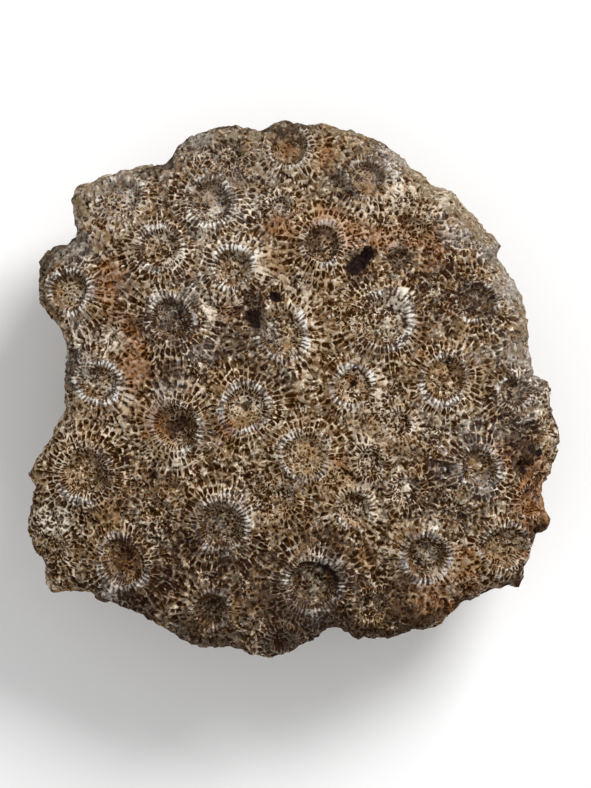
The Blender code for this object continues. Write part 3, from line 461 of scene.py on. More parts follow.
# Chalky white patches; the spot at (11.0, -0.9) is a painted highlight on the lower left lip of a bowl, lit
# from the upper right.
CHALK_AND_HIGHLIGHT = (
    (-18.8, 34.0, 1.3, 0.7), (-9.6, 33.6, 1.2, 0.7), (-10.8, 25.6, 1.2, 0.6), (-6.2, 23.8, 1.6, 0.8),
    (-14.3, 21.6, 1.2, 0.8), (18.0, 17.4, 1.2, 0.6), (14.6, 16.9, 1.2, 0.5), (-24.3, 16.8, 1.3, 0.7),
    (19.8, 15.4, 1.7, 0.9), (19.2, 14.6, 2.0, 1.2), (-15.6, 13.8, 1.4, 0.8), (20.9, 12.6, 1.6, 0.8),
    (2.9, 12.0, 1.2, 0.5), (19.8, 8.6, 1.5, 0.5), (-1.8, 5.2, 1.4, 0.6), (-31.6, 4.6, 1.2, 0.5),
    (12.8, 2.6, 1.5, 0.7), (-37.8, 0.0, 1.2, 0.5), (11.0, -0.9, 0.8, 1.1), (24.8, -2.0, 1.9, 0.9),
    (-12.2, -2.7, 1.2, 0.5), (-3.9, -2.9, 1.1, 0.8), (10.2, -3.9, 1.4, 0.7), (-38.5, -6.9, 1.8, 0.6),
    (-16.0, -8.4, 1.0, 0.6), (-2.0, -11.2, 1.4, 0.8), (-22.6, -11.6, 1.4, 0.6), (3.6, -16.4, 1.3, 0.7),
    (20.4, -16.6, 1.3, 1.3), (36.0, -17.4, 1.3, 0.5), (14.2, -19.6, 0.9, 0.7), (20.7, -19.6, 0.8, 1.0),
    (-7.0, -21.0, 1.6, 0.8), (13.8, -21.8, 1.2, 1.0), (13.0, -24.2, 1.1, 0.8), (25.2, -24.8, 1.0, 1.2),
    (-16.4, -28.2, 1.6, 0.7), (8.3, -31.4, 1.8, 0.9), (36.8, -33.0, 1.2, 0.7), (-0.5, -33.2, 1.2, 1.0),
    (-33.4, -34.6, 2.0, 1.3), (26.8, -35.2, 1.2, 0.5), (-31.0, -35.8, 1.8, 1.1),
)
OCHRE = (
    (-0.4, 42.6, 2.4, 0.6), (13.5, 37.4, 3.0, 0.8), (-14.8, 35.0, 2.0, 0.9), (-14.9, 33.6, 2.4, 0.8),
    (5.3, 31.1, 3.0, 0.6), (-23.0, 26.4, 2.6, 0.6), (-3.1, 22.7, 3.0, 0.6), (-9.6, 22.6, 2.0, 0.4),
    (-32.6, 22.0, 3.0, 0.5), (-2.5, 22.0, 3.0, 0.4), (3.8, 21.6, 3.0, 0.5), (18.7, 18.7, 3.0, 0.5),
    (5.0, 18.0, 4.0, 0.4), (-12.4, 13.2, 2.4, 0.7), (20.0, 4.0, 4.0, 0.4), (25.4, 3.4, 2.2, 0.9),
    (11.0, 1.4, 1.6, 0.9), (-28.0, -3.6, 3.0, 0.9), (-23.4, -4.4, 2.4, 0.9), (14.7, -6.9, 3.0, 0.5),
    (-38.2, -7.0, 3.0, 0.6), (-24.4, -7.6, 2.2, 1.0), (14.9, -7.6, 3.0, 0.5), (-11.3, -7.7, 2.0, 0.7),
    (3.5, -8.2, 3.0, 0.5), (3.0, -10.9, 2.4, 0.6), (-22.4, -11.0, 3.0, 1.1), (8.3, -14.4, 3.0, 1.1),
    (-2.0, -16.0, 6.0, 0.3), (8.0, -16.0, 6.0, 0.4), (-32.7, -21.5, 4.0, 0.6), (-30.0, -22.0, 6.0, 0.3),
    (16.0, -26.0, 6.0, 0.3), (37.6, -30.0, 2.6, 0.6), (12.4, -30.4, 2.6, 0.8), (32.4, -31.0, 2.4, 0.6),
    (-29.8, -32.4, 2.8, 1.2), (-32.0, -37.0, 2.4, 0.6), (6.4, -38.4, 2.4, 0.6),
)
CREAM = (
    (12.6, 38.4, 1.2, 0.3), (19.8, 34.7, 3.6, 0.7), (27.5, 34.0, 4.0, 0.4), (-14.3, 32.2, 1.8, 1.2),
    (-7.6, 32.0, 2.4, 0.9), (13.6, 31.1, 3.0, 0.5), (6.9, 30.2, 2.4, 0.5), (6.5, 29.3, 2.6, 0.6),
    (-22.6, 28.0, 2.4, 0.5), (-23.6, 27.7, 2.6, 0.5), (19.3, 26.6, 2.6, 0.6), (10.7, 25.2, 2.6, 1.3),
    (-18.4, 23.8, 2.6, 0.5), (-20.9, 22.5, 2.4, 0.5), (-20.7, 21.6, 2.4, 0.5), (-5.1, 21.3, 2.4, 0.9),
    (-10.6, 21.0, 1.6, 0.7), (2.7, 18.2, 5.0, 0.6), (-39.4, 17.5, 1.6, 0.9), (-23.6, 16.4, 2.2, 0.9),
    (-21.0, 15.0, 0.8, 0.5), (17.8, 14.9, 1.8, 0.5), (19.1, 14.5, 2.6, 0.8), (-12.2, 14.4, 2.4, 0.6),
    (-10.9, 14.4, 2.0, 0.5), (-13.4, 13.9, 2.8, 1.0), (16.5, 10.9, 3.0, 0.5), (-15.1, 10.7, 2.4, 0.6),
    (-31.5, 10.0, 2.4, 0.6), (-0.4, 9.6, 1.2, 0.5), (20.9, 9.1, 2.6, 0.6), (-31.0, 8.6, 2.4, 0.7),
    (14.0, 4.0, 4.0, 0.35), (9.2, 3.4, 2.0, 0.5), (-34.2, 1.0, 1.2, 0.6), (-29.3, -0.4, 2.4, 0.6),
    (16.9, -0.9, 2.6, 0.6), (-8.0, -1.6, 1.0, 0.9), (-8.2, -3.3, 4.6, 0.3), (-6.4, -3.4, 0.9, 0.8),
    (-10.0, -3.6, 0.9, 0.7), (29.0, -4.6, 4.0, 0.4), (-29.1, -5.1, 2.6, 0.6), (25.0, -6.0, 4.0, 0.4),
    (-38.9, -7.2, 2.8, 1.0), (15.5, -7.3, 4.4, 0.6), (24.7, -8.2, 2.6, 0.5), (13.2, -8.4, 1.6, 0.6),
    (36.2, -10.4, 2.4, 0.8), (12.9, -10.5, 2.6, 0.5), (-1.3, -10.9, 2.0, 0.5), (4.5, -10.9, 4.4, 0.5),
    (-24.6, -11.0, 2.6, 1.0), (-23.8, -11.1, 2.6, 0.6), (36.0, -12.0, 2.0, 0.5), (-20.6, -12.2, 3.0, 1.2),
    (8.2, -14.9, 2.6, 0.6), (8.2, -14.9, 2.2, 0.4), (20.4, -16.6, 1.4, 1.2), (13.3, -17.1, 2.4, 0.5),
    (22.0, -17.3, 2.4, 0.5), (20.7, -19.6, 1.3, 1.2), (-6.7, -20.5, 2.4, 0.6), (11.6, -21.2, 1.4, 1.0),
    (15.6, -22.0, 2.6, 0.9), (-42.7, -23.6, 4.2, 1.0), (-12.6, -24.4, 1.0, 0.9), (25.2, -24.6, 1.4, 0.9),
    (-24.2, -26.7, 2.2, 0.5), (-24.4, -26.9, 2.6, 0.5), (6.0, -29.6, 2.6, 0.7), (24.0, -30.2, 2.0, 1.0),
    (6.6, -31.2, 2.0, 0.9), (-29.6, -33.4, 1.2, 0.7), (3.6, -35.6, 2.0, 0.7),
)

# Where rims are worn away or sunk into the ground, in the same way.
WORN = (
    (12.0, 13.0, 4.2, 1.0), (14.5, 7.0, 2.8, 0.6), (-5.6, 10.6, 3.0, 0.6), (-1.6, 14.4, 3.0, 0.5),
    (-25.4, 10.0, 3.2, 0.6), (7.0, -12.0, 2.6, 0.6), (-16.0, -22.0, 2.6, 0.5), (-10.0, -29.0, 2.4, 0.5),
    (29.6, 5.6, 3.2, 0.6), (31.2, -0.6, 2.2, 0.5), (-37.6, 3.4, 2.6, 0.5), (36.8, 18.0, 3.0, 0.6),
    (-33.0, -18.0, 3.4, 0.6), (-39.6, -11.2, 2.6, 0.6), (7.4, 2.6, 2.2, 0.6), (14.0, -1.2, 2.0, 0.5),
    (-10.6, 36.0, 2.6, 0.5), (16.8, 35.0, 2.6, 0.6), (-27.0, 33.0, 3.0, 0.5), (-20.4, 22.0, 2.6, 0.5),
    (21.0, -32.6, 2.4, 0.5), (-26.6, -28.4, 2.6, 0.6), (41.4, -26.0, 2.8, 0.6), (0.6, -38.6, 2.8, 0.5),
)

# The underside: a bed of points in even rows, shallow wear and a few deeper pits.
UNDER_STEP = 0.95
UNDER_REACH = 60.0
UNDER_JITTER = 0.2         # how far the points stand out of even rows, in steps
ROW_HEIGHT = 0.87          # distance between the rows, in steps
UNDER_END = 0.985          # how near the rows come to the foot's edge, as a share of its reach
WEAR_DEPTH = 0.12          # mean depth of the wear, and how far it spreads
WEAR_SPREAD = 0.14
FINE_WEAR_SPREAD = 0.1
PIT_DEPTH = 0.6
PIT_START = 0.62
PIT_GAIN = 3.0
UNDER_CRUST = 0.55
UNDER_CRUST_SPREAD = 0.6
UNDER_MASKS = {            # least, rise, start and gain of its other masks, and their noises
    "cavity": (0.25, 0.6, -0.1, 1.2, (1.2, 97)),
    "dark": (0.0, 0.7, 0.4, 1.2, (7.0, 96)),
    "ochre": (0.0, 0.7, 0.2, 1.0, (12.0, 98)),
}

# The finish of the limestone.
SHEEN = 0.008
BUMP_STRENGTH = 0.6
BUMP_DEPTH = 0.16
LOOSE_PORES = 0.85         # size of the material's own pores in disorder, and in rows along the rays
RAY_PORES = 0.60
PORE_WALL = (0.04, 0.20)   # how far in from a pore's edge it begins to look open, and where it is
# where the specks, partly painted glints, begin to show and where they are full
SPECK_RISE = (0.50, 0.64)
RISE = (0.05, 0.85)        # where a stain's mask begins to show and where it is full
CRUST_RISE = (0.25, 0.85)
RAY_RISE = (0.25, 0.75)

# The stage, in metres: the size of each light and its place.
KEY_SIZE = 0.45
KEY_PLACE = (0.53, 0.66, 0.73)
FILL_SIZE = 0.90
FILL_PLACE = (-0.7, -0.5, 0.8)
FLOOR_ROUGHNESS = 0.9


def ease(share):
    """A share held between 0 and 1, with a soft start and end."""
    share = np.clip(share, 0.0, 1.0)
    return share * share * (3.0 - 2.0 * share)


def around(bearing, stops):
    """Value at a bearing in radians, eased between stops given as (degrees, value)."""
    degrees = np.degrees(bearing) % 360.0
    places = np.array([stop[0] for stop in stops] + [stops[0][0] + 360.0])
    values = np.array([stop[1] for stop in stops] + [stops[0][1]])
    index = np.searchsorted(places, degrees, side="right") - 1
    share = ease((degrees - places[index]) / (places[index + 1] - places[index]))
    return values[index] * (1.0 - share) + values[index + 1] * share


def bearing_of(points):
    """Bearing of each point, seen from the middle, in radians."""
    return np.arctan2(points[:, 1], points[:, 0])


def reach_of(points):
    """Distance of each point from the middle, seen from above."""
    return np.hypot(points[:, 0], points[:, 1])


def spread_out(reach, bearing):
    """Places at a reach and a bearing from the middle."""
    return np.column_stack((reach * np.cos(bearing), reach * np.sin(bearing)))


def edge_reach(bearing):
    """Distance from the middle to the colony's broken edge at a bearing."""
    outline = np.array(OUTLINE)
    outline = outline[np.argsort(bearing_of(outline))]
    return np.interp(bearing, bearing_of(outline), reach_of(outline), period=2.0 * math.pi)


def smoothed_reach(bearing):
    """The edge's reach with its lumps evened out over about 50 degrees."""
    offsets = np.radians(EVENING_DEGREES)
    return np.mean([edge_reach(bearing + offset) for offset in offsets], axis=0)


def soft_noise(points, span, seed):
    """Smooth random values from -1 to 1 that change over about one span."""
    table = np.random.default_rng(seed).uniform(-1.0, 1.0, NOISE_TABLE)
    scaled = points / span
    corner = np.floor(scaled).astype(np.int64)
    share = ease(scaled - corner)
    total = np.zeros(len(points))
    for step in itertools.product((0, 1), repeat=3):
        weight = np.prod(np.where(np.array(step) == 1, share, 1.0 - share), axis=1)
        total += table[scrambled(corner + np.array(step))] * weight
    return total


def scrambled(spot):
    """A place in the noise table for each corner of a grid, the same each time."""
    return np.bitwise_xor.reduce(spot * SCRAMBLE, axis=1) % NOISE_TABLE


def drift(points, span, seed):
    """Smooth shifts from -1 to 1 in two directions that change over about one span."""
    return np.column_stack([soft_noise(points, span, number) for number in (seed, seed + 1)])


def cell_depth(points, span, seed):
    """How far points lie inside the cells of an irregular net, from 0 on its walls, in cell widths."""
    table = np.random.default_rng(seed).uniform(0.0, 1.0, (NOISE_TABLE, 3))
    scaled = points / span
    corner = np.floor(scaled).astype(np.int64)
    first = np.full(len(points), np.inf)
    second = np.full(len(points), np.inf)
    for step in itertools.product((-1, 0, 1), repeat=3):
        spot = corner + np.array(step)
        distance = np.linalg.norm(spot + table[scrambled(spot)] - scaled, axis=1)
        second = np.minimum(second, np.maximum(first, distance))
        first = np.minimum(first, distance)
    return second - first


def near_edge(points, width, fade):
    """1 at the colony's broken edge, easing to 0 at a width inwards from it."""
    return ease((reach_of(points) - edge_reach(bearing_of(points)) + width) / fade)


def above(points, level, fade):
    """0 up to a level, easing to 1 above it."""
    return ease((points[:, 2] - level) / fade)


def beneath(points, level, fade):
    """0 down to a level, easing to 1 below it."""
    return ease((level - points[:, 2]) / fade)


def disc(share, end, fall):
    """1 in the middle of a corallite, easing to 0 at an end."""
    return ease((end - share) / fall)


def ring(share, start, rise, end, fall):
    """1 on a ring round the middle of a corallite, easing in from its start and out to its end."""
    return ease((share - start) / rise) * disc(share, end, fall)


def face_height(radius):
    """Height of the domed face at a distance from its middle."""
    return HEIGHT - FACE_FALL * (radius / MEAN_REACH) ** 2


class Form:
    """The stone's upper side unrolled from the middle of the face down to its foot.

    A place on it is (u, v) in millimetres. Its bearing is that of the place on the stone, and its
    distance from (0, 0) is the way over the face, the shoulder and the flank.
    """

    def __init__(self):
        bearing = np.linspace(-math.pi, math.pi, SKETCH_BEARINGS + 1)
        reach = edge_reach(bearing)[:, None]
        width = around(bearing, SHOULDER_WIDTH)[:, None]
        drop = around(bearing, SHOULDER_DROP)[:, None]
        evened = FOOT_EVENNESS * smoothed_reach(bearing) + (1.0 - FOOT_EVENNESS) * edge_reach(bearing)
        foot = FOOT_SHARE * evened[:, None]
        share = np.linspace(0.0, 1.0, PROFILE_STEPS)[None, :]
        face_radius = (reach - width) * share
        turn = 0.5 * math.pi * share[:, 1:]
        brow = face_height(reach - width)
        shoulder_radius = reach - width + width * np.sin(turn)
        shoulder_height = brow - drop * (1.0 - np.cos(turn))
        fall = share[:, 1:]
        flank_radius = reach - (reach - foot) * fall ** WALL_BULGE
        flank_height = (brow - drop) * (1.0 - fall) + FOOT_RISE * fall
        radius = np.hstack((face_radius, shoulder_radius, flank_radius))
        height = np.hstack((face_height(face_radius), shoulder_height, flank_height))
        way = np.hypot(np.diff(radius, axis=1), np.diff(height, axis=1))
        way = np.hstack((np.zeros((len(way), 1)), np.cumsum(way, axis=1)))
        steps = np.linspace(0.0, 1.0, SKETCH_STEPS + 1)
        self.length = way[:, -1]
        self.radius = self.even(steps, way, radius)
        self.height = self.even(steps, way, height)

    @staticmethod
    def even(steps, ways, tables):
        """Values read off at even steps along the way at each bearing."""
        return np.array([np.interp(steps * way[-1], way, table) for way, table in zip(ways, tables)])

    @staticmethod
    def column(bearing):
        """Where a bearing lies among the columns of the worked-out form."""
        return (bearing + math.pi) / (2.0 * math.pi) * SKETCH_BEARINGS

    def full_length(self, bearing):
        """The way from the middle of the face to the foot at a bearing."""
        return np.interp(self.column(bearing), np.arange(SKETCH_BEARINGS + 1), self.length)

    def place(self, flat):
        """Positions on the stone, before its relief, of places (u, v)."""
        bearing = bearing_of(flat)
        column = self.column(bearing)
        row = reach_of(flat) / self.full_length(bearing) * SKETCH_STEPS
        left = np.clip(column.astype(int), 0, SKETCH_BEARINGS - 1)
        low = np.clip(row.astype(int), 0, SKETCH_STEPS - 1)
        across = column - left
        along = np.minimum(row - low, 1.0)
        radius = self.blend(self.radius, left, low, across, along)
        height = self.blend(self.height, left, low, across, along)
        return np.column_stack((spread_out(radius, bearing), height))

    @staticmethod
    def blend(table, left, low, across, along):
        """Value of a table between its four nearest entries."""
        near = table[left, low] * (1.0 - along) + table[left, low + 1] * along
        far = table[left + 1, low] * (1.0 - along) + table[left + 1, low + 1] * along
        return near * (1.0 - across) + far * across

    def normal(self, flat):
        """Outward unit directions at places (u, v)."""
        along_u = self.place(flat + (NORMAL_STEP, 0.0)) - self.place(flat - (NORMAL_STEP, 0.0))
        along_v = self.place(flat + (0.0, NORMAL_STEP)) - self.place(flat - (0.0, NORMAL_STEP))
        out = np.cross(along_u, along_v)
        return out / np.linalg.norm(out, axis=1)[:, None]

    def unroll(self, x, y):
        """Place (u, v) of the point of the face above (x, y)."""
        bearing = math.atan2(y, x)
        left = int(self.column(bearing))
        radius = self.radius[left]
        widest = int(np.argmax(radius))
        steps = np.linspace(0.0, 1.0, SKETCH_STEPS + 1)
        way = np.interp(math.hypot(x, y), radius[:widest], steps[:widest]) * self.length[left]
        return np.array((way * math.cos(bearing), way * math.sin(bearing)))


def rim_wobble(index, bearing):
    """How far a corallite's rim departs from a circle at a bearing, as a share of its radius."""
    rng = np.random.default_rng(WOBBLE_SEED + index)
    total = 0.0
    for waves in WOBBLE_WAVES:
        depth = rng.uniform(WOBBLE_LEAST, WOBBLE_MOST / waves)
        total = total + depth * np.cos(waves * bearing + rng.uniform(0.0, 2.0 * math.pi))
    return total


def rim_share(points, centre, index):
    """Distance of points from a corallite's middle, as a share of its rim radius in their direction."""
    away = points - centre
    rim = RIMS[index] * (1.0 + rim_wobble(index, bearing_of(away)))
    return np.linalg.norm(away, axis=1) / rim


def corallite_profile(share, depth, lip, boss):
    """Height across a corallite, where share is the distance from its middle over its rim radius."""
    rise = ease((share - FLOOR_REACH) / (CREST - FLOOR_REACH))
    bowl = -depth + (depth + lip) * rise + boss * ease(1.0 - share / BOSS_REACH)
    skirt = lip * ease((SKIRT_REACH - share) / (SKIRT_REACH - CREST))
    return np.where(share < CREST, bowl, skirt)


def flank_relief(points):
    """Flutes and growth steps of the flanks, fading out towards the face and the foot."""
    rise = points[:, 2] / HEIGHT
    amount = ease((FLANK_TOP - rise) / FLANK_TOP_FADE) * ease((rise - FLANK_FOOT) / FLANK_FOOT_FADE)
    flutes = soft_noise(points * (1.0, 1.0, FLUTE_STRETCH), FLUTE_SPAN, FLUTE_SEED)
    wander = soft_noise(points, 2.0 * STEP_PITCH, STEP_SEED)
    steps = np.sin(2.0 * math.pi * (points[:, 2] / STEP_PITCH + wander))
    return amount * (FLUTE_HEIGHT * flutes + STEP_HEIGHT * steps)


def relief(points, centres):
    """How far the surface stands out from the plain form: corallites, swells, hollows and chips."""
    inside = np.zeros(len(points))
    within = np.zeros(len(points), dtype=bool)
    outside = np.zeros(len(points))
    for index, (_, _, _, depth, lip, boss) in enumerate(CORALLITES):
        share = rim_share(points, centres[index], index)
        height = corallite_profile(share, depth, lip, boss)
        bowl = share < CREST
        inside[bowl] = height[bowl]
        within |= bowl
        outside = np.maximum(outside, np.where(bowl, 0.0, height))
    total = np.where(within, inside, outside)
    total += SWELL * soft_noise(points, SWELL_SPAN, SWELL_SEED)
    total += flank_relief(points)
    for x, y, length, width, bearing, depth in HOLLOWS:
        turn = math.radians(bearing)
        along = (points[:, 0] - x) * math.cos(turn) + (points[:, 1] - y) * math.sin(turn)
        across = (points[:, 1] - y) * math.cos(turn) - (points[:, 0] - x) * math.sin(turn)
        reach = np.hypot(along / (0.5 * length), across / (0.5 * width))
        upper = ease(HOLLOW_FADE * (points[:, 2] / HEIGHT - HOLLOW_LEVEL))
        total -= depth * ease(HOLLOW_REACH - reach) * upper
    return total


class Cut:
    """Points of the finely cut surface.

    wall is 1 on top of a septum or bar and -1 at the bottom of a pore. order is how strictly a point
    keeps to that, from 0 to 1; the rest is left to chance.
    """

    def __init__(self):
        self.flat = []
        self.wall = []
        self.order = []

    def add(self, flat, wall, order):
        """Add points, with one wall and one order for all of them or for each."""
        self.flat.append(flat)
        self.wall.append(np.broadcast_to(wall, len(flat)))
        self.order.append(np.broadcast_to(order, len(flat)))

    def joined(self):
        """The places, walls and orders of all points."""
        return np.vstack(self.flat), np.concatenate(self.wall), np.concatenate(self.order)


def groove_walls(count, number, stagger, period, bar_top, closed_share, rng):
    """Walls of the points between septa on one ring: a bar once in each period, the rest are pores."""
    slip = rng.random(count) < BAR_SLIPS
    bar = (number + stagger + slip) % period == 0
    closed = rng.random(count) < closed_share
    pore = np.where(closed, CLOSED_TOP, -1.0 + PORE_SPREAD * rng.random(count) ** 2)
    return np.where(bar, bar_top + rng.uniform(-BAR_SPREAD, BAR_SPREAD, count), pore)


class Rays:
    """The septa of one corallite: their bearings, how far out they start, and how they vary."""

    def __init__(self, rim, pitch, clear, rng):
        orders = len(SEPTA_STARTS)
        count = orders * round(2.0 * math.pi * rim / pitch / orders)
        index = np.arange(count)
        first = index + rng.uniform(-SEPTA_JITTER, SEPTA_JITTER, count)
        first_start = rim * np.array(SEPTA_STARTS)[index % orders] * rng.uniform(*START_SPREAD, count)
        later = index + 0.5 + rng.uniform(-LATER_JITTER, LATER_JITTER, count)
        later_start = rim * rng.uniform(*LATER_STARTS, count)
        turns = np.concatenate((first, later)) * 2.0 * math.pi / count
        order = np.argsort(turns)
        self.turns = turns[order]
        self.starts = np.concatenate((first_start, later_start))[order]
        self.stagger = rng.integers(0, STAGGER, len(turns))
        self.period = rng.integers(*BAR_PERIODS, len(turns))
        self.strength = rng.uniform(*SEPTA_STRENGTHS, len(turns))
        self.beaded = BEADED_REACH + rng.uniform(-BEADED_SPREAD, BEADED_SPREAD, len(turns))
        self.clear = clear
        self.rng = rng

    def ring(self, active, number, share):
        """Bearings and walls along one ring: first its septa, then what lies between them."""
        ridge = self.turns[active]
        gap = np.diff(np.append(ridge, ridge[0] + 2.0 * math.pi))
        outside = ease((share - OUTSIDE[0]) / OUTSIDE[1])
        top = self.strength[active] * (1.0 - outside) + outside
        top = np.where(self.rng.random(len(ridge)) < BROKEN_SEPTA * outside, 0.0, top)
        gapped = (share < self.beaded[active]) & (self.rng.random(len(ridge)) < BEAD_GAPS)
        top = np.where(gapped, BEAD_GAP, top)
        bar_top = self.clear * np.interp(share, BAR_SHARES, BAR_TOPS) + (1.0 - self.clear) * NET_BAR
        groove = groove_walls(len(ridge), number, self.stagger[active], self.period[active], bar_top,
                              CLOSED_PORES * outside, self.rng)
        groove *= np.interp(share, GROOVE_SHARES, GROOVE_FALL)
        return np.concatenate((ridge, ridge + 0.5 * gap)), np.concatenate((top, groove))


def distances(form, places, centres):
    """Distance of each place (u, v) on the stone from each corallite's middle."""
    return np.linalg.norm(form.place(places)[:, None, :] - centres[None, :, :], axis=2)


def own_ground(form, places, index, centres):
    """Whether places belong to a corallite rather than to its neighbours or to the foot."""
    score = distances(form, places, centres) - RIM_CLAIM * RIMS
    own = score[:, index].copy()
    score[:, index] = np.inf
    end = form.full_length(bearing_of(places)) - FOOT_MARGIN
    return (own < score.min(axis=1) - SEAM) & (reach_of(places) < end)


def meander(places):
    """Smooth sideways shifts, from -1 to 1, that make the septa wander."""
    return drift(np.column_stack((places, np.zeros(len(places)))), *MEANDER_DRIFT)


def cut_rosette(cut, form, index, centres, pitch):
    """Cut one corallite: rings of points that alternate between its septa and what lies between."""
    rng = np.random.default_rng(ROSETTE_SEED + index)
    x, y, rim = CORALLITES[index][:3]
    middle = form.unroll(x, y)
    bearing = math.atan2(y, x)
    outward = np.array((math.cos(bearing), math.sin(bearing)))
    sideways = np.array((-outward[1], outward[0]))
    stretch = math.hypot(*middle) / math.hypot(x, y)
    clear = ease(CLARITY_GAIN * CLARITY[index])
    rays = Rays(rim, pitch, clear, rng)
    swirl = rng.uniform(-SWIRL, SWIRL)
    phase = rng.uniform(0.0, 2.0 * math.pi)
    cut.add(middle[None, :], MIDDLE_WALL, MIDDLE_ORDER)
    inner = np.arange(BOWL_STEP, BOWL_END * rim, BOWL_STEP)
    outer = np.arange(inner[-1] + NET_STEP, TERRITORY, NET_STEP)
    for number, radius in enumerate(np.concatenate((inner, outer))):
        active = rays.starts <= radius
        if active.sum() < LEAST_RAYS:
            continue
        share = radius / rim
        beyond = max(share - 1.0, 0.0)
        turn, wall = rays.ring(active, number, share)
        turn = turn + beyond * (swirl + BEND * np.sin(2.0 * turn + phase))
        step = np.outer(np.cos(turn), outward) + np.outer(np.sin(turn), sideways) * stretch
        places = middle + step * (radius * (1.0 + rim_wobble(index, turn + bearing)))[:, None]
        places += max(MEANDER * min(beyond, 1.0), WORN_MEANDER * (1.0 - clear)) * meander(places)
        loose = max(min(beyond, 1.0), 1.0 - clear, 1.0 if share < FLOOR_END else 0.0)
        places += rng.normal(0.0, RING_JITTER + LOOSE_JITTER * loose, places.shape)
        kept = own_ground(form, places, index, centres)
        order = clear * np.interp(share, ORDER_SHARES, ORDER) + (1.0 - clear) * NET_ORDER
        cut.add(places[kept], wall[kept], order)


def cut_flanks(cut, form, centres):
    """Cut the flanks, which lie outside every corallite's territory, with upright ribs."""
    rng = np.random.default_rng(FLANK_SEED)
    turns = np.linspace(-math.pi, math.pi, FLANK_COLUMNS, endpoint=False)
    length = form.full_length(turns)
    stagger = rng.integers(0, STAGGER, FLANK_COLUMNS)
    period = rng.integers(*FLANK_PERIODS, FLANK_COLUMNS)
    column = np.arange(FLANK_COLUMNS)
    for row in range(1, int(length.max() / FLANK_STEP)):
        way = length - row * FLANK_STEP
        wander = FLANK_JITTER * rng.normal(0.0, 1.0, (FLANK_COLUMNS, 2))
        places = spread_out(way, turns) + wander
        groove = groove_walls(FLANK_COLUMNS, row, stagger, period, NET_BAR, CLOSED_PORES, rng)
        wall = np.where(column % 2 == 0, 1.0, groove)
        free = distances(form, places, centres).min(axis=1) > TERRITORY + SEAM
        kept = free & (way > FLANK_START * length)
        cut.add(places[kept], wall[kept], FLANK_ORDER)


def cut_upper_side(form, centres, pitch):
    """The finely cut upper side. Its first points are the edge of the foot."""
    cut = Cut()
    turns = np.linspace(-math.pi, math.pi, FLANK_COLUMNS, endpoint=False)
    cut.add(spread_out(form.full_length(turns), turns), 0.0, 1.0)
    for index in range(len(CORALLITES)):
        cut_rosette(cut, form, index, centres, pitch)
    cut_flanks(cut, form, centres)
    return cut.joined()


def triangulate(places, border_count):
    """Triangles over places, inside the border that the first of them make."""
    coordinates = [Vector(place) for place in places]
    border = list(range(border_count))
    result = geometry.delaunay_2d_cdt(coordinates, [], [border], 1, MERGE_WITHIN)
    origins = result[3]
    return [[origins[corner][0] for corner in face] for face in result[2]]


def stain(points, stains):
    """How strongly a list of stains colours each point, with ragged edges; painted shade and light are listed
    as stains too.
    """
    shift = drift(points, *STAIN_DRIFT)
    total = np.zeros(len(points))
    for x, y, radius, strength in stains:
        distance = reach_of(points[:, :2] - (x, y) + shift)
        total += strength * np.exp(-STAIN_FALL * (distance / radius) ** 2)
    return np.clip(total * above(points, *STAIN_LEVEL), 0.0, STAIN_MOST)


def crisp_spots(points, spots):
    """Where small crisp spots lie, from 0 to 1."""
    shift = SPOT_SHIFT * drift(points, *SPOT_DRIFT)
    total = np.zeros(len(points))
    for x, y, radius, strength in spots:
        distance = reach_of(points[:, :2] - (x, y) + shift)
        total = np.maximum(total, strength * ease((radius - distance) / SPOT_FADE + 0.5))
    return total * above(points, *SPOT_LEVEL)


def worn_share(points):
    """How far the rims and the rays are worn away, from 0 to 1."""
    return np.minimum(stain(points, WORN), 1.0)


def nearest_corallite(points, centres):
    """Which corallite each point is nearest to, and how far off it lies as a share of its rim radius."""
    share = np.column_stack([rim_share(points, centre, index) for index, centre in enumerate(centres)])
    nearest = share.argmin(axis=1)
    return nearest, share[np.arange(len(points)), nearest]


def crust_cover(points):
    """How far the smooth crust of the shoulder and the flanks covers each point."""
    bearing = bearing_of(points)
    ragged = RAG * soft_noise(points, *RAGS) + FINE_RAG * soft_noise(points, *FINE_RAGS)
    band = CRUST_GAIN * around(bearing, CRUST_BAND) * near_edge(points, *CRUST_WIDTH)
    veil = ease(VEIL_START + soft_noise(points, *VEIL_PATCHES))
    veil *= ease((points[:, 1] - VEIL_RISE[0]) / VEIL_RISE[1])
    face = np.maximum(CRUST_MOST * ease(band + ragged + CRUST_START), VEIL_MOST * veil)
    patches = soft_noise(points * (1.0, 1.0, FLANK_CRUST_STRETCH), *FLANK_BLOTCHES)
    flank = ease(FLANK_CRUST + FLANK_PATCHES * patches + FLANK_RAG * ragged)
    flank *= 1.0 - around(bearing, BARE_EDGE) * above(points, *SHADE_LEVEL)
    low = beneath(points, *CRUST_LEVEL)
    return np.maximum(face * (1.0 - low), flank * low)


def ruled_share(points, order):
    """How far the net keeps to the rays of the septa, from 0 to 1, rather than to chance."""
    chance = CHANCE_WEIGHT * soft_noise(points, *ORDER_CHANCE)
    return ease(0.5 + ORDER_WEIGHT * (order - 0.5) - WEAR_WEIGHT * worn_share(points) + chance)


def polar_places(points, centres, nearest, share):
    """Places in a net that rays out from the corallites: outwards, round them, and one layer for each."""
    away = points - centres[nearest]
    rim = RIMS[nearest]
    outwards = rim * np.log(np.maximum(share, NET_CORE)) / CELL_STRETCH
    round_them = rim * bearing_of(away)
    return np.column_stack((outwards, round_them, LAYER_GAP * nearest))


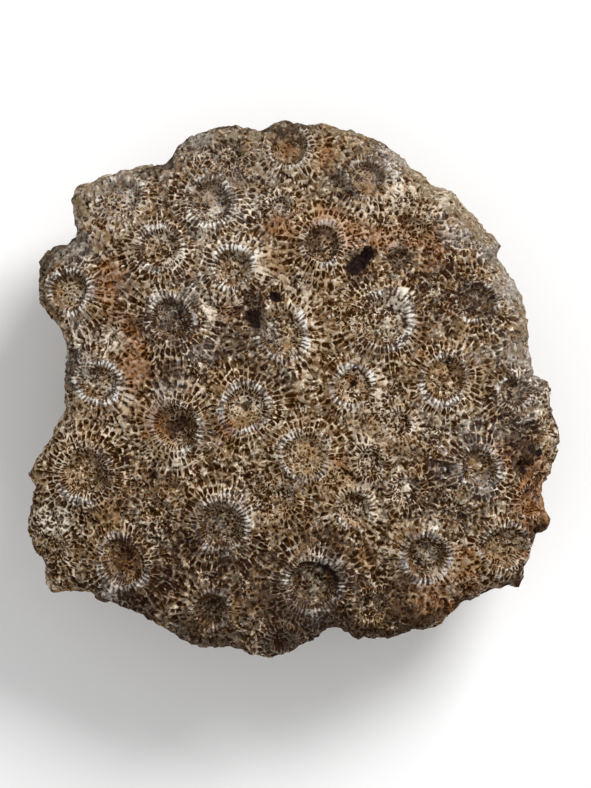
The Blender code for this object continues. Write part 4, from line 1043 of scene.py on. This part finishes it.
def finished_walls(points, nearest, share, crust, wall, ruled):
    """Walls after chance, the beads of the bowls and the crust have had their part in them."""
    chance = np.random.default_rng(CHANCE_SEED).uniform(-1.0, 1.0, len(points))
    net = 1.0 - 2.0 * ease(cell_depth(points, NET_PITCH, NET_SEED) / WALL_WIDTH) + NET_CHANCE * chance
    wall = ruled * wall + (1.0 - ruled) * net
    beads = 2.0 * ease(cell_depth(points, BEAD_PITCH, BEAD_SEED) / WALL_WIDTH) - 1.0 + BEAD_CHANCE * chance
    beaded = np.array(BEADS)[nearest] * disc(share, *BEAD_DISC)
    wall = beaded * beads + (1.0 - beaded) * wall
    wall = wall + (1.0 - wall) * CRUST_FILL * crust
    hole = (crust > CRUST_HOLED) & (chance > 1.0 - 2.0 * CRUST_HOLES)
    return np.where(hole, -1.0, wall)


def fine_relief(points, share, crust, wall, settings):
    """Height of the septa, bars, pores and lumps at each point."""
    rise = settings.ridge_height / MM * np.interp(share, RELIEF_SHARES, RIDGE_RISE)
    fall = settings.pore_depth / MM * np.interp(share, RELIEF_SHARES, PORE_FALL)
    fine_lumps = (FINE_LUMP_HEIGHT + CRUST_LUMP_HEIGHT * crust) * soft_noise(points, *FINE_LUMPS)
    lumps = LUMP_HEIGHT * soft_noise(points, *LUMPS) + fine_lumps
    lumps += BROW_HEIGHT * near_edge(points, *BROW_WIDTH) * soft_noise(points, *BROW_LUMPS)
    ledge = points[:, 2] / LEDGE_PITCH + LEDGE_WANDER * soft_noise(points, *LEDGE_NOISE)
    ledges = LEDGE_HEIGHT * np.sin(2.0 * math.pi * ledge) * beneath(points, *LEDGE_LEVEL) * crust
    return np.where(wall > 0.0, rise, fall) * wall + lumps + ledges


def underside(foot):
    """Extra positions and the triangles that close the stone below its foot."""
    rng = np.random.default_rng(UNDER_SEED)
    count = int(UNDER_REACH / UNDER_STEP)
    rows = [
        ((column + 0.5 * (row % 2)) * UNDER_STEP, ROW_HEIGHT * row * UNDER_STEP)
        for row, column in itertools.product(range(-count, count + 1), repeat=2)
    ]
    flat = np.array(rows) + rng.uniform(-UNDER_JITTER, UNDER_JITTER, (len(rows), 2)) * UNDER_STEP
    end = np.interp(bearing_of(flat), bearing_of(foot), reach_of(foot), period=2.0 * math.pi)
    share = reach_of(flat) / end
    kept = share < UNDER_END
    flat = flat[kept]
    slope = np.clip((share[kept] - REST_SHARE) / (1.0 - REST_SHARE), 0.0, 1.0)
    ground = np.column_stack((flat, np.zeros(len(flat))))
    worn = WEAR_SPREAD * soft_noise(ground, *WEAR) + FINE_WEAR_SPREAD * soft_noise(ground, *FINE_WEAR)
    pits = PIT_DEPTH * ease(PIT_GAIN * (soft_noise(ground, *PITS) - PIT_START))
    height = FOOT_RISE * slope + np.clip(WEAR_DEPTH + worn, 0.0, None) + pits
    faces = triangulate(np.vstack((foot[:, :2], flat)), len(foot))
    return np.column_stack((flat, height)), faces


def underside_masks(points):
    """Masks of the worn patch underneath: blotches of crust, dark stain and ochre, and open pores."""
    crust = UNDER_CRUST + UNDER_CRUST_SPREAD * soft_noise(points, *UNDER_BLOTCHES)
    masks = {"crust": np.clip(crust, 0.0, 1.0)}
    for name, (least, rise, start, gain, noise) in UNDER_MASKS.items():
        masks[name] = least + rise * ease(start + gain * soft_noise(points, *noise))
    return masks


def crest_mask(points, share, clarity, crust):
    """Where the pale crests of the rims show."""
    patches = ease(0.5 + PATCH_GAIN * soft_noise(points, *RIM_PATCHES))
    unworn = 1.0 - worn_share(points)
    return ring(share, *CREST_RING) * clarity * (1.0 - crust) * (RIM_LEAST + RIM_SPREAD * patches) * unworn


def hollow_shade_mask(points, centres, nearest, share, clarity):
    """How dark the painted shade inside the rims is, most of all on the side under the light, and in the
    core.
    """
    away = points - centres[nearest]
    reach = np.maximum(np.linalg.norm(away, axis=1), MIDDLE_REACH)
    facing = (away[:, :2] @ np.array(LIGHT_SIDE)) / reach
    shaded = 1.0 - SIDE_SHADE + SIDE_SHADE * facing
    hollow = np.array(HOLLOW_SHADE)[nearest] * ring(share, *HOLLOW_SHADE_RING) * shaded
    return hollow + CORE_SHADE * clarity * disc(share, *CORE_DISC)


def edge_shade(points):
    """How dark the painted shade near the stone's edge is."""
    bearing = bearing_of(points)
    patches = ease(EDGE_START + PATCH_GAIN * soft_noise(points, *EDGE_PATCHES))
    band = near_edge(points, *SHADED_WIDTH) * patches * around(bearing, SHADED_EDGE)
    return band * above(points, *SHADE_LEVEL)


def colour_masks(plain, centres, nearest, share, crust, ruled, wall):
    """Masks that the material reads, by name."""
    clarity = np.array(CLARITY)[nearest]
    masks = {
        "cavity": 0.5 - 0.5 * wall,
        "rays": ruled * ring(share, *RAY_RING),
        "crest": crest_mask(plain, share, clarity, crust),
        "bowl": clarity * disc(share, *BOWL_DISC),
        # painted shade in the bowls
        "hollow": hollow_shade_mask(plain, centres, nearest, share, clarity),
        "crust": crust,
        # black spots, some of them painted shadow arcs
        "black": crisp_spots(plain, BLACK_AND_SHADOW),
    }
    # the dark list also holds painted shade and shadows, and the chalk list one painted highlight
    stains = {"rust": RUST, "grey": GREY, "dark": DARK_AND_SHADE, "chalk_and_highlight": CHALK_AND_HIGHLIGHT, "cream": CREAM, "ochre": OCHRE}
    for name, places in stains.items():
        masks[name] = stain(plain, places)
    # the painted shade near the edge is laid into the dark stains
    masks["dark"] += edge_shade(plain) * (1.0 - np.minimum(masks["chalk_and_highlight"], 1.0))
    return masks


def stone_mesh(settings):
    """The finely cut closed surface, in metres, in the place of the solid, with its colour masks."""
    form = Form()
    centres = form.place(np.array([form.unroll(*corallite[:2]) for corallite in CORALLITES]))
    flat, wall, order = cut_upper_side(form, centres, settings.septa_pitch / MM)
    plain = form.place(flat)
    nearest, share = nearest_corallite(plain, centres)
    crust = crust_cover(plain)
    ruled = ruled_share(plain, order)
    wall = finished_walls(plain, nearest, share, crust, wall, ruled)
    height = relief(plain, centres) + fine_relief(plain, share, crust, wall, settings)
    height[:FLANK_COLUMNS] = 0.0
    upper = plain + form.normal(flat) * height[:, None]
    faces = triangulate(flat, FLANK_COLUMNS)
    lower, lower_faces = underside(upper[:FLANK_COLUMNS])
    shift = len(upper) - FLANK_COLUMNS
    for face in lower_faces:
        faces.append([corner if corner < FLANK_COLUMNS else corner + shift for corner in reversed(face)])
    points = np.vstack((upper, lower))
    middle = 0.5 * (points.min(axis=0) + points.max(axis=0))
    points -= (middle[0], middle[1], points[:, 2].min())
    low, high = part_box(NODE)
    points = points * MM + (0.5 * (low[0] + high[0]), 0.5 * (low[1] + high[1]), low[2])
    mesh = bpy.data.meshes.new("stone_surface")
    mesh.from_pydata(points.tolist(), [], faces)
    mesh.shade_smooth()
    net = np.vstack((polar_places(plain, centres, nearest, share), lower / NET_PITCH))
    add_mask(mesh, "net", "FLOAT_VECTOR", "vector", net)
    lower_masks = underside_masks(lower)
    for name, values in colour_masks(plain, centres, nearest, share, crust, ruled, wall).items():
        rest = lower_masks.get(name, np.zeros(len(lower)))
        add_mask(mesh, name, "FLOAT", "value", np.concatenate((values, rest)))
    return mesh


def add_mask(mesh, name, kind, field, values):
    """Give each point of a mesh a value that a material can read by name."""
    attribute = mesh.attributes.new(name, kind, "POINT")
    attribute.data.foreach_set(field, values.astype(np.float32).ravel())


class Shade:
    """A small hand for wiring a material's nodes."""

    # A mix node's sockets for colours, which come after those for numbers and vectors.
    MIX_INPUTS = (6, 7)
    MIX_OUTPUT = 2

    def __init__(self, name):
        self.material = bpy.data.materials.new(name)
        self.material.use_nodes = True
        self.tree = self.material.node_tree
        self.shader = self.tree.nodes["Principled BSDF"]
        coordinates = self.tree.nodes.new("ShaderNodeTexCoord")
        self.space = coordinates.outputs["Object"]

    def link(self, value, socket):
        """Give a socket another node's output, or a plain value."""
        if isinstance(value, bpy.types.NodeSocket):
            self.tree.links.new(value, socket)
        else:
            socket.default_value = value

    def mask(self, name, output="Fac"):
        """What the surface's points say under a name."""
        node = self.tree.nodes.new("ShaderNodeAttribute")
        node.attribute_name = name
        return node.outputs[output]

    def beads(self, span):
        """Distance from the middles of packed beads, in bead widths."""
        node = self.tree.nodes.new("ShaderNodeTexVoronoi")
        self.link(self.space, node.inputs["Vector"])
        node.inputs["Scale"].default_value = 1.0 / (span * MM)
        return node.outputs["Distance"]

    def cells(self, space, scale, warp, chance=1.0):
        """Distance from the walls of a net of cells, in cell widths. Chance 0 sets them in rows."""
        bend = self.tree.nodes.new("ShaderNodeTexNoise")
        self.link(space, bend.inputs["Vector"])
        bend.inputs["Scale"].default_value = scale
        shift = self.tree.nodes.new("ShaderNodeVectorMath")
        shift.operation = "MULTIPLY_ADD"
        self.link(bend.outputs["Color"], shift.inputs[0])
        shift.inputs[1].default_value = (warp / scale,) * 3
        self.link(space, shift.inputs[2])
        node = self.tree.nodes.new("ShaderNodeTexVoronoi")
        node.feature = "DISTANCE_TO_EDGE"
        self.link(shift.outputs[0], node.inputs["Vector"])
        node.inputs["Scale"].default_value = scale
        node.inputs["Randomness"].default_value = chance
        return node.outputs["Distance"]

    def noise(self, span, detail=3.0, rough=0.55, warp=0.0):
        """Noise from 0 to 1 that changes over a span in millimetres."""
        node = self.tree.nodes.new("ShaderNodeTexNoise")
        self.link(self.space, node.inputs["Vector"])
        node.inputs["Scale"].default_value = 1.0 / (span * MM)
        node.inputs["Detail"].default_value = detail
        node.inputs["Roughness"].default_value = rough
        node.inputs["Distortion"].default_value = warp
        return node.outputs["Fac"]

    def ramp(self, value, low, high, start=0.0, end=1.0):
        """A value eased from start to end as it runs from low to high."""
        node = self.tree.nodes.new("ShaderNodeMapRange")
        node.interpolation_type = "SMOOTHSTEP"
        self.link(value, node.inputs["Value"])
        self.link(low, node.inputs["From Min"])
        self.link(high, node.inputs["From Max"])
        self.link(start, node.inputs["To Min"])
        self.link(end, node.inputs["To Max"])
        return node.outputs["Result"]

    def math(self, operation, first, second):
        """Two values put together by one of the arithmetic operations."""
        node = self.tree.nodes.new("ShaderNodeMath")
        node.operation = operation
        self.link(first, node.inputs[0])
        self.link(second, node.inputs[1])
        return node.outputs[0]

    def product(self, first, second):
        """Two values multiplied."""
        return self.math("MULTIPLY", first, second)

    def total(self, *values):
        """Values added up."""
        result = values[0]
        for value in values[1:]:
            result = self.math("ADD", result, value)
        return result

    def toned(self, colour, saturation, value):
        """A colour with its saturation and its brightness multiplied."""
        node = self.tree.nodes.new("ShaderNodeHueSaturation")
        self.link(saturation, node.inputs["Saturation"])
        self.link(value, node.inputs["Value"])
        self.link(colour, node.inputs["Color"])
        return node.outputs["Color"]

    def mix(self, share, first, second):
        """A colour that goes from the first to the second as the share rises."""
        node = self.tree.nodes.new("ShaderNodeMix")
        node.data_type = "RGBA"
        self.link(share, node.inputs[0])
        self.link(first, node.inputs[self.MIX_INPUTS[0]])
        self.link(second, node.inputs[self.MIX_INPUTS[1]])
        return node.outputs[self.MIX_OUTPUT]

    def laid(self, colour, *layers):
        """A colour under tints, each laid on up to a share as its pattern runs from low to high."""
        for tint, pattern, low, high, share in layers:
            colour = self.mix(self.ramp(pattern, low, high, 0.0, share), colour, tint)
        return colour


class Patterns:
    """The masks and noises that the parts of the limestone share."""

    def __init__(self, shade):
        self.grain = shade.noise(0.55, 2.0, 0.6)
        self.patch = shade.noise(2.4, 3.0, 0.6)
        self.broad = shade.noise(9.0, 3.0, 0.55, 0.6)
        # specks, partly painted glints
        self.speck = shade.noise(0.8, 2.0, 0.6)
        self.rough = shade.ramp(shade.noise(1.6, 3.0, 0.65), 0.34, 0.66, -0.35, 0.15)
        # the pale rims and the chalky patches, one of them a painted highlight
        pale = shade.math("MAXIMUM", shade.mask("crest"), shade.mask("chalk_and_highlight"))
        self.crest = shade.total(pale, self.rough)
        self.rim = shade.ramp(self.crest, 0.1, 0.8)
        self.bowl = shade.ramp(shade.mask("bowl"), 0.1, 0.9)
        self.pores = self.small_pores(shade)
        self.depth = self.looked_depth(shade)

    def small_pores(self, shade):
        """Pores finer than the mesh: in rows along the rays, in disorder elsewhere, few on the rims."""
        loose = shade.ramp(shade.cells(shade.space, 1.0 / (LOOSE_PORES * MM), 0.8), *PORE_WALL)
        rays = shade.ramp(shade.cells(shade.mask("net", "Vector"), 1.0 / RAY_PORES, 0.35, 0.6), *PORE_WALL)
        loose = shade.product(loose, shade.ramp(shade.mask("rays"), *RAY_RISE, 1.0, 0.0))
        rays = shade.product(rays, shade.ramp(shade.mask("rays"), *RAY_RISE))
        filled = shade.ramp(shade.mask("crust"), *CRUST_RISE, 1.0, 0.45)
        pores = shade.product(shade.total(loose, rays), filled)
        plain = shade.math("MAXIMUM", self.rim, shade.product(self.bowl, 0.2))
        return shade.product(shade.ramp(pores, 0.0, 1.0, -0.22, 0.36), shade.ramp(plain, 0.0, 1.0, 1.0, 0.15))

    def looked_depth(self, shade):
        """How deep each place looks, from about 0 on a ridge to 1 in a pore."""
        cavity = shade.product(shade.mask("cavity"), shade.ramp(self.rim, 0.0, 1.0, 0.65, 1.15))
        bead_gap = shade.ramp(self.bowl, 0.0, 1.0, 0.15, 0.24)
        beads = shade.ramp(shade.beads(0.5), 0.15, 0.75, -0.12, bead_gap)
        uneven = shade.ramp(shade.noise(2.0, 3.0, 0.55), 0.32, 0.68, -0.24, 0.20)
        raised = shade.ramp(self.crest, 0.1, 1.0, 0.0, -0.30)
        return shade.total(cavity, beads, self.pores, uneven, raised, shade.product(self.bowl, -0.17))


def septa_colour(shade, patterns, settings):
    """Worn septa: ochre in broad patches, with cream specks, partly painted glints, and brown, and pale on
    the rims.
    """
    tone = shade.noise(4.0, 3.0, 0.6, 0.3)
    warm = shade.ramp(patterns.patch, 0.44, 0.68, 0.0, 0.5)
    warm = shade.math("MAXIMUM", warm, shade.ramp(patterns.broad, 0.52, 0.68, 0.0, 0.5))
    colour = shade.mix(warm, settings.septa_colour, settings.ochre_colour)
    colour = shade.mix(shade.product(patterns.bowl, 0.7), colour, settings.bowl_colour)
    return shade.laid(
        colour,
        # cream specks, partly painted glints
        (settings.cream_colour, patterns.speck, *SPECK_RISE, 1.0),
        (settings.ochre_colour, shade.noise(1.3, 2.0, 0.6), 0.54, 0.38, 0.7),
        (settings.ground_colour, tone, 0.49, 0.34, 0.8),
        (settings.cream_colour, tone, 0.54, 0.70, 0.8),
        (settings.crest_colour, patterns.crest, 0.10, 0.8, 0.9),
    )


def crust_colour(shade, patterns, settings):
    """The smooth crust: mottled, with a few round pores."""
    return shade.laid(
        settings.crust_colour,
        (settings.ground_colour, patterns.patch, 0.3, 0.7, 1.0),
        (settings.brown_and_shade_colour, patterns.grain, 0.45, 0.75, 0.45),
        # pale specks, partly painted glints
        (settings.septa_colour, patterns.speck, *SPECK_RISE, 0.6),
        (settings.brown_and_shade_colour, patterns.pores, 0.0, 0.3, 0.3),
        # round pores, dark with their own colour and with painted shade
        (settings.pore_and_shade_colour, shade.beads(1.1), 0.34, 0.22, 0.9),
    )


def stained(shade, patterns, settings, colour):
    """A colour with the cream, ochre and rust stains of the face laid over it."""
    layers = (
        ("cream", settings.cream_colour, shade.ramp(patterns.depth, 0.0, 0.4, 0.75, 0.35)),
        ("ochre", settings.ochre_colour, 0.70),
        ("rust", settings.rust_colour, shade.ramp(patterns.depth, 0.0, 0.5, 0.50, 0.72)),
    )
    for name, tint, share in layers:
        colour = shade.laid(colour, (tint, shade.total(shade.mask(name), patterns.rough), *RISE, share))
    return colour


def greyed(shade, patterns, settings, colour):
    """A colour made greyer and a little brighter on the pale rims and in the grey stains."""
    pale = shade.product(shade.mask("crest"), shade.ramp(patterns.depth, 0.2, 0.7, 1.0, 0.5))
    grey = shade.math("MAXIMUM", shade.total(shade.mask("grey"), patterns.rough), pale)
    saturation = shade.ramp(grey, *RISE, 1.0, 0.56)
    colour = shade.toned(colour, saturation, shade.ramp(grey, *RISE, 1.0, 1.12))
    return shade.laid(colour, (settings.grey_colour, grey, *RISE, 0.12))


def darkened(shade, patterns, settings, colour):
    """A colour darkened by painted shade in the bowls and near the edge, by dark stains and black spots, and
    by painted shadows.
    """
    # the painted shade in the bowls, laid on in brown
    colour = shade.laid(colour, (settings.brown_and_shade_colour, shade.mask("hollow"), 0.05, 0.9, 0.45))
    # the dark stains and the painted shade and shadows among them darken the colour
    ragged = shade.ramp(shade.noise(1.1, 3.0, 0.6), 0.38, 0.62, -0.55, 0.25)
    dark = shade.total(shade.mask("dark"), ragged)
    colour = shade.toned(colour, 1.1, shade.ramp(dark, 0.05, 0.9, 1.0, 0.42))
    # the black spots and the painted shadow arcs, broken by grain
    inky = shade.laid(settings.black_and_shadow_colour, (settings.dark_and_shade_colour, patterns.grain, 0.45, 0.62, 0.5))
    black = shade.total(shade.mask("black"), shade.ramp(patterns.grain, 0.3, 0.7, -0.2, 0.2))
    return shade.laid(
        colour,
        (settings.dark_and_shade_colour, dark, 0.05, 0.9, 0.42),
        (inky, black, 0.35, 0.65, 1.0),
    )


def limestone_material(settings):
    """Weathered coral limestone: pale septa, brown ground, dark pores, a smooth crust, stains and painted
    shade.
    """
    shade = Shade("coral_limestone")
    patterns = Patterns(shade)
    ground = shade.laid(
        settings.ground_colour,
        (settings.ochre_colour, patterns.broad, 0.42, 0.68, 0.8),
        (settings.brown_and_shade_colour, patterns.patch, 0.42, 0.68, 0.7),
    )
    septa = septa_colour(shade, patterns, settings)
    colour = shade.laid(septa, (ground, patterns.depth, -0.04, 0.32, 1.0))
    colour = stained(shade, patterns, settings, colour)
    crust = stained(shade, patterns, settings, crust_colour(shade, patterns, settings))
    # the pores darken with depth: their own dark colour, and painted shade where they are deep
    colour = shade.laid(
        colour,
        (crust, shade.mask("crust"), *CRUST_RISE, 0.9),
        (settings.pore_and_shade_colour, patterns.depth, 0.27, 0.74, 0.97),
    )
    colour = greyed(shade, patterns, settings, colour)
    colour = darkened(shade, patterns, settings, colour)
    shade.link(colour, shade.shader.inputs["Base Color"])

    shade.link(shade.ramp(patterns.grain, 0.3, 0.7, 0.62, 0.9), shade.shader.inputs["Roughness"])
    shade.shader.inputs["Specular IOR Level"].default_value = SHEEN
    bump = shade.tree.nodes.new("ShaderNodeBump")
    bump.inputs["Strength"].default_value = BUMP_STRENGTH
    bump.inputs["Distance"].default_value = BUMP_DEPTH * MM
    fine = shade.noise(0.42, 3.0, 0.6)
    shade.link(shade.math("SUBTRACT", fine, patterns.pores), bump.inputs["Height"])
    shade.link(bump.outputs["Normal"], shade.shader.inputs["Normal"])
    return shade.material


def colour_property(name, description, default):
    """A colour that a user can change, in linear light."""
    return bpy.props.FloatVectorProperty(
        name=name, description=description, subtype="COLOR", size=4, min=0.0, max=1.0,
        default=(*default, 1.0),
    )


def length_property(name, description, default, least, most):
    """A length that a user can change, in metres."""
    return bpy.props.FloatProperty(
        name=name, description=description, subtype="DISTANCE", unit="LENGTH",
        default=default, min=least, max=most,
    )


def power_property(name, description, default):
    """A light's power that a user can change, in watts."""
    return bpy.props.FloatProperty(
        name=name, description=description, subtype="POWER", unit="POWER",
        default=default, min=0.0, max=100.0,
    )


class StoneSettings(bpy.types.PropertyGroup):
    """What can be changed about the stone."""

    septa_pitch: length_property(
        "Septa pitch", "Spacing of the septa along a corallite's rim", 0.78 * MM, 0.4 * MM, 2.0 * MM)
    ridge_height: length_property(
        "Ridge height", "How far the septa stand up from the ground", 0.36 * MM, 0.0, 1.0 * MM)
    pore_depth: length_property(
        "Pore depth", "How far the pores go down between the septa", 0.70 * MM, 0.0, 1.5 * MM)
    septa_colour: colour_property("Septa", "Colour of the worn septa", (0.48, 0.405, 0.315))
    bowl_colour: colour_property("Bowls", "Colour of the beads inside the rims", (0.43, 0.325, 0.215))
    crest_colour: colour_property("Rims", "Colour of the rims' crests", (0.73, 0.70, 0.62))
    ground_colour: colour_property("Ground", "Colour of the stone between septa", (0.165, 0.100, 0.052))
    ochre_colour: colour_property("Ochre", "Colour of the yellow patches", (0.345, 0.215, 0.108))
    # brown also paints the shade in the bowls
    brown_and_shade_colour: colour_property("Brown", "Colour of the brown patches", (0.072, 0.039, 0.020))
    # the pores' colour is partly painted shade
    pore_and_shade_colour: colour_property("Pores", "Colour down in the pores", (0.028, 0.010, 0.003))
    # the dark stain's colour also paints the shade near the edge and shadows
    dark_and_shade_colour: colour_property("Dark stain", "Colour of the purple brown patches", (0.046, 0.022, 0.016))
    # the black spots' colour also paints shadow arcs in two bowls
    black_and_shadow_colour: colour_property("Black spots", "Colour of the black mineral spots", (0.014, 0.009, 0.008))
    crust_colour: colour_property("Crust", "Colour of the smooth crust", (0.225, 0.19, 0.138))
    cream_colour: colour_property("Cream stain", "Colour of the chalky patches", (0.80, 0.71, 0.575))
    grey_colour: colour_property("Grey stain", "Colour of the blue grey patches", (0.30, 0.28, 0.245))
    rust_colour: colour_property("Rust stain", "Colour of the iron stains", (0.30, 0.135, 0.062))


class StageSettings(bpy.types.PropertyGroup):
    """What can be changed about the floor, the lights and the camera."""

    floor_size: length_property("Floor size", "Length of the floor's sides", 6.0, 1.0, 20.0)
    floor_colour: colour_property("Floor", "Colour of the floor", (0.90, 0.90, 0.90))
    key_power: power_property("Key light", "Power of the large soft light at the upper right", 12.0)
    fill_power: power_property("Fill light", "Power of the weak light at the lower left", 2.0)
    sky_strength: bpy.props.FloatProperty(
        name="Room light", description="Strength of the even light from all sides",
        default=0.55, min=0.0, max=5.0,
    )
    lens: bpy.props.FloatProperty(
        name="Lens", description="Focal length of the camera",
        subtype="DISTANCE_CAMERA", unit="CAMERA", default=150.0, min=20.0, max=300.0,
    )


class PETOSKEY_OT_build_stone(bpy.types.Operator):
    """Build the fossil coral in the place of its plain solid."""

    bl_idname = "petoskey.build_stone"
    bl_label = "Build the stone"

    def execute(self, context):
        settings = context.scene.petoskey_stone
        stone = bpy.data.objects.new("fossil_coral", stone_mesh(settings))
        stone.data.materials.append(limestone_material(settings))
        context.scene.collection.objects.link(stone)
        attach(stone, "root")
        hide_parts(NODE)
        return {"FINISHED"}


def floor_paint(settings):
    """Pale matt paint for the floor."""
    paint = bpy.data.materials.new("floor_paint")
    paint.use_nodes = True
    shader = paint.node_tree.nodes["Principled BSDF"]
    shader.inputs["Base Color"].default_value = settings.floor_colour
    shader.inputs["Roughness"].default_value = FLOOR_ROUGHNESS
    return paint


def add_floor(context, settings, level):
    """A plain square floor at the level on which the stone rests."""
    half = 0.5 * settings.floor_size
    corners = ((-half, -half, level), (half, -half, level), (half, half, level), (-half, half, level))
    mesh = bpy.data.meshes.new("floor")
    mesh.from_pydata(corners, [], [(0, 1, 2, 3)])
    mesh.materials.append(floor_paint(settings))
    floor = bpy.data.objects.new("floor", mesh)
    context.scene.collection.objects.link(floor)


def add_room(context, settings):
    """Even white light from all sides."""
    world = bpy.data.worlds.new("room")
    world.use_nodes = True
    sky = world.node_tree.nodes["Background"]
    sky.inputs["Color"].default_value = (1.0, 1.0, 1.0, 1.0)
    sky.inputs["Strength"].default_value = settings.sky_strength
    context.scene.world = world


def add_camera(context, settings):
    """A camera that looks straight down, with the photograph's frame."""
    data = bpy.data.cameras.new("camera")
    data.lens = settings.lens
    camera = bpy.data.objects.new("camera", data)
    shown = IMAGE_HEIGHT / PIXELS_PER_MM * MM
    distance = shown * settings.lens / data.sensor_width
    camera.location = (VIEW_X * MM, VIEW_Y * MM, EDGE_LEVEL * MM + distance)
    context.scene.collection.objects.link(camera)
    context.scene.camera = camera


def add_light(context, name, power, size, place, aim):
    """A square soft light that faces a point."""
    data = bpy.data.lights.new(name, "AREA")
    data.energy = power
    data.size = size
    light = bpy.data.objects.new(name, data)
    light.location = place
    light.rotation_euler = (Vector(aim) - Vector(place)).to_track_quat("-Z", "Y").to_euler()
    context.scene.collection.objects.link(light)


class PETOSKEY_OT_set_stage(bpy.types.Operator):
    """Lay a pale floor, light it softly and look straight down on the stone."""

    bl_idname = "petoskey.set_stage"
    bl_label = "Set the stage"

    def execute(self, context):
        settings = context.scene.petoskey_stage
        low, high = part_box(NODE)
        middle = 0.5 * (low + high)
        add_floor(context, settings, low.z)
        add_light(context, "key", settings.key_power, KEY_SIZE, KEY_PLACE, middle)
        add_light(context, "fill", settings.fill_power, FILL_SIZE, FILL_PLACE, middle)
        add_room(context, settings)
        add_camera(context, settings)
        context.scene.view_settings.view_transform = "Standard"
        return {"FINISHED"}


class PETOSKEY_PT_panel(bpy.types.Panel):
    """The stone's tools in the 3D view's sidebar."""

    bl_idname = "PETOSKEY_PT_panel"
    bl_label = "Petoskey stone"
    bl_space_type = "VIEW_3D"
    bl_region_type = "UI"
    bl_category = "Petoskey stone"

    def draw(self, context):
        layout = self.layout
        layout.operator(PETOSKEY_OT_build_stone.bl_idname)
        for name in StoneSettings.__annotations__:
            layout.prop(context.scene.petoskey_stone, name)
        layout.operator(PETOSKEY_OT_set_stage.bl_idname)
        for name in StageSettings.__annotations__:
            layout.prop(context.scene.petoskey_stage, name)


CLASSES = (
    StoneSettings,
    StageSettings,
    PETOSKEY_OT_build_stone,
    PETOSKEY_OT_set_stage,
    PETOSKEY_PT_panel,
)


def register():
    """Add the tools and the settings to Blender."""
    for item in CLASSES:
        bpy.utils.register_class(item)
    bpy.types.Scene.petoskey_stone = bpy.props.PointerProperty(type=StoneSettings)
    bpy.types.Scene.petoskey_stage = bpy.props.PointerProperty(type=StageSettings)


def unregister():
    """Take the tools and the settings out again."""
    del bpy.types.Scene.petoskey_stage
    del bpy.types.Scene.petoskey_stone
    for item in reversed(CLASSES):
        bpy.utils.unregister_class(item)


def main():
    """Build the stone and its stage."""
    register()
    bpy.ops.petoskey.build_stone()
    bpy.ops.petoskey.set_stage()


if __name__ == "__main__":
    main()
